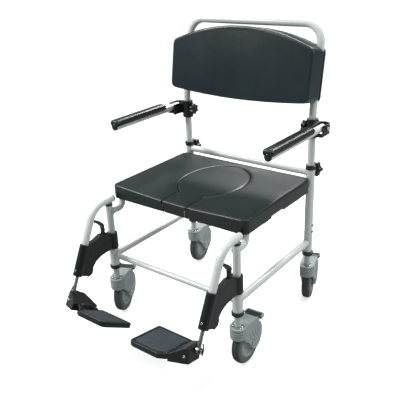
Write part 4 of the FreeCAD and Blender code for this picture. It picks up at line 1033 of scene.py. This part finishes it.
def hub_mesh():
    """Wheel centre with five raised spokes on each face."""
    half = [(0.00506, 0.0179), (0.0100, 0.0180), (0.0124, 0.0176), (0.0134, 0.0166),
            (0.0140, 0.0120), (0.0165, 0.0096), (0.0300, 0.0082), (0.0425, 0.0080),
            (0.0448, 0.0092), (0.0458, 0.0128), (0.0472, 0.0142), (0.0500, 0.0146),
            (0.0525, 0.0142), (0.0536, 0.0130)]
    mesh = lathe("hub", both_sides(half), "X", 144, closed=True)
    points = get_points(mesh)
    x, y, z = points.T
    radius, angle = np.hypot(y, z), np.arctan2(z, y)
    web = unit((radius - 0.0160) / 0.004) * unit((0.0440 - radius) / 0.003)
    points[:, 0] += np.sign(x) * web * 0.0016 * unit(np.cos(5 * angle) * 3 - 1.2)
    set_points(mesh, points)
    return mesh


def toe_bar_mesh():
    """Bar round the pedal, four steps between stations."""
    stations = [Vector(p) for p in (
        (-0.031, 0.099, 0.1495), (-0.0312, 0.112, 0.1500), (-0.029, 0.1195, 0.1490),
        (-0.024, 0.1220, 0.1475), (0.0, 0.1226, 0.1470), (0.024, 0.1220, 0.1475),
        (0.029, 0.1195, 0.1490), (0.0312, 0.112, 0.1500), (0.031, 0.099, 0.1495))]
    path = [start.lerp(end, t) for start, end in zip(stations, stations[1:])
            for t in np.linspace(0, 1, 5)[:-1]]
    return solid_tube("pedal_toe_bar", path + stations[-1:], 0.0031, 12, closed=False)


RIM_X, RIM_R = 0.0145, 0.0496
STEM_WASHER = [(0.0093, -0.0005), (0.0150, -0.0005), (0.0153, 0.0002), (0.0150, 0.0009),
               (0.0093, 0.0009)]
reference = caster_matrix("front_left")
fork = mould("caster_fork", "caster_fork_front_left", voxel=0.00125, rounds=5,
             matrix=reference, shape=fork_shape)
pedal = mould("brake_pedal", "brake_pedal_front_left", voxel=0.0010, rounds=4,
              matrix=reference)
tyre = tyre_mesh()
hub = hub_mesh()
rim = solid_tube("rim_ring", [(RIM_X, RIM_R * math.cos(t), RIM_R * math.sin(t))
                              for t in turn_angles(96)], 0.0011, 8)
toe_bar = toe_bar_mesh()
washer = lathe("stem_washer", STEM_WASHER, "Z", 48, closed=True)

for corner in CORNERS:
    swivel = caster_matrix(corner)
    axle = swivel @ Matrix.Translation((0, TRAIL, WHEEL_R))
    caster, wheel, brake = "caster_" + corner, "wheel_" + corner, "brake_" + corner
    place("caster_housing_" + corner, fork.copy(), GREY, caster, swivel,
          "caster_fork_" + corner)
    place("wheel_tyre_" + corner, tyre.copy(), TYRE, wheel, axle, "tyre_" + corner)
    place("wheel_centre_" + corner, hub.copy(), HUB, wheel, axle, "wheel_hub_" + corner)
    place("wheel_rim_ring_a_" + corner, rim.copy(), HUB, wheel, axle)
    place("wheel_rim_ring_b_" + corner, mirrored(rim, "rim_b"), HUB, wheel, axle)
    place("brake_pedal_moulding_" + corner, pedal.copy(), PEDAL_DARK, brake, swivel,
          "brake_pedal_" + corner)
    place("pedal_toe_bar_" + corner, toe_bar.copy(), GREY, brake, swivel)
    place("stem_washer_" + corner, washer.copy(), CHROME, caster,
          swivel @ Matrix.Translation((0, 0, 0.1640)))
    for k, x in enumerate((-0.0165, 0.0165)):
        screw_head("stem_bolt_%s_%d" % (corner, k), swivel @ Vector((x, -0.0055, 0.1632)),
                   (0, 0, 1), 0.0044, caster, flatness=0.4)

# ------------------------------------------------------------------ pan
moulding("pan_moulding", "commode_pan", PAN, "pan", voxel=0.0015, rounds=2)


# ------------------------------------------------------------------ stage
def pale_floor(name):
    """Near white to the camera, mid grey in the light it bounces."""
    m = Surface(name)
    camera_ray = m.add("ShaderNodeLightPath").outputs["Is Camera Ray"]
    seen = m.mix(m.noise(scale=2, detail=3), (0.70, 0.70, 0.70), (0.73, 0.73, 0.73))
    m.put("Base Color", m.mix(camera_ray, (0.30, 0.31, 0.305), seen))
    m.put("Roughness", 0.6)
    m.put("Specular IOR Level", 0.2)
    m.put("Emission Color", (1.0, 1.0, 1.0))
    m.put("Emission Strength", m.rescale(camera_ray, low=0.02, high=0.62, start=0.0, end=1.0))
    return m.material


floor = add_object("floor", mesh_from(
    "floor", [(-40, -40, 0), (40, -40, 0), (40, 40, 0), (-40, 40, 0)], [(0, 1, 2, 3)]))
floor.location.z = -0.0004
floor.data.materials.append(pale_floor("pale_floor"))
floor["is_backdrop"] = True

# camera direction, radians
AZIMUTH, ELEVATION, ROLL = 0.6708, 0.4115, -0.0453
back = Vector((math.sin(AZIMUTH) * math.cos(ELEVATION),
               -math.cos(AZIMUTH) * math.cos(ELEVATION), math.sin(ELEVATION)))
level_right = Vector((math.cos(AZIMUTH), math.sin(AZIMUTH), 0))
level_up = back.cross(level_right)
right = level_right * math.cos(ROLL) + level_up * math.sin(ROLL)
up = level_up * math.cos(ROLL) - level_right * math.sin(ROLL)
camera = bpy.data.cameras.new("camera")
camera_object = add_object("camera", camera)
camera_matrix = Matrix((right, up, back)).transposed().to_4x4()
camera_matrix.translation = chair(1123.33, -1481.28, 1262.62)
camera_object.matrix_world = camera_matrix
camera.sensor_width = 36.0
camera.lens = 51.8787
camera.shift_x = 0.0038
camera.shift_y = 0.0007
camera.clip_start = 0.05
camera.clip_end = 200
scene.camera = camera_object


def area(name, at, target, size, power, color=(1, 1, 1)):
    light = bpy.data.lights.new(name, "AREA")
    light.shape = "RECTANGLE"
    light.size, light.size_y = size
    light.energy = power
    light.color = color
    obj = add_object(name, light)
    obj.location = at
    obj.rotation_euler = (Vector(target) - Vector(at)).to_track_quat("-Z", "Y").to_euler()


area("key_soft", at=(-1.9, -1.6, 2.6), target=(0, 0, 0.5), size=(1.1, 0.5), power=62,
     color=(1.0, 1.0, 0.99))
area("rim_right", at=(2.4, 0.9, 1.9), target=(0, 0.1, 0.5), size=(0.4, 1.6), power=20)
area("top_back", at=(-0.3, 2.2, 2.5), target=(0, 0, 0.5), size=(2.2, 0.4), power=64)


def studio_world():
    """Grey surround, darker behind the camera, bright overhead; white to the camera."""
    world = bpy.data.worlds.new("studio")
    scene.world = world
    g = Graph(world, "ShaderNodeOutputWorld", "ShaderNodeBackground")
    direction = g.coords.outputs["Generated"]
    toward_camera = g.add("ShaderNodeVectorMath")
    toward_camera.operation = "DOT_PRODUCT"
    toward_camera.inputs[1].default_value = tuple(Vector((back.x, back.y, 0.10)).normalized())
    g.feed(toward_camera.inputs[0], direction)
    behind = g.rescale(toward_camera.outputs["Value"], low=0.0, high=1.0, start=0.25,
                       end=0.95, smooth=True)
    walls = g.mix(behind, (0.232, 0.268, 0.266), (0.05, 0.062, 0.058))
    camera_ray = g.add("ShaderNodeLightPath").outputs["Is Camera Ray"]
    split = g.add("ShaderNodeSeparateXYZ")
    g.feed(split.inputs[0], direction)
    overhead = g.rescale(split.outputs[2], low=0.0, high=1.0, start=0.45, end=0.95,
                         smooth=True)
    dome = g.mix(overhead, walls, (1.17, 1.235, 1.225))
    g.put("Color", g.mix(camera_ray, dome, (1.06, 1.06, 1.06)))
    g.put("Strength", 0.95)


studio_world()
scene.view_settings.view_transform = "Standard"
scene.view_settings.exposure = 0.0


def flat(b):
    # bounds that are not rows of numbers are written as text
    try:
        return [[float(c) for c in p] for p in b]
    except TypeError:
        return str(b)


{"cad": flat(CAD_BOUNDS), "visual": flat(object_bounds())}
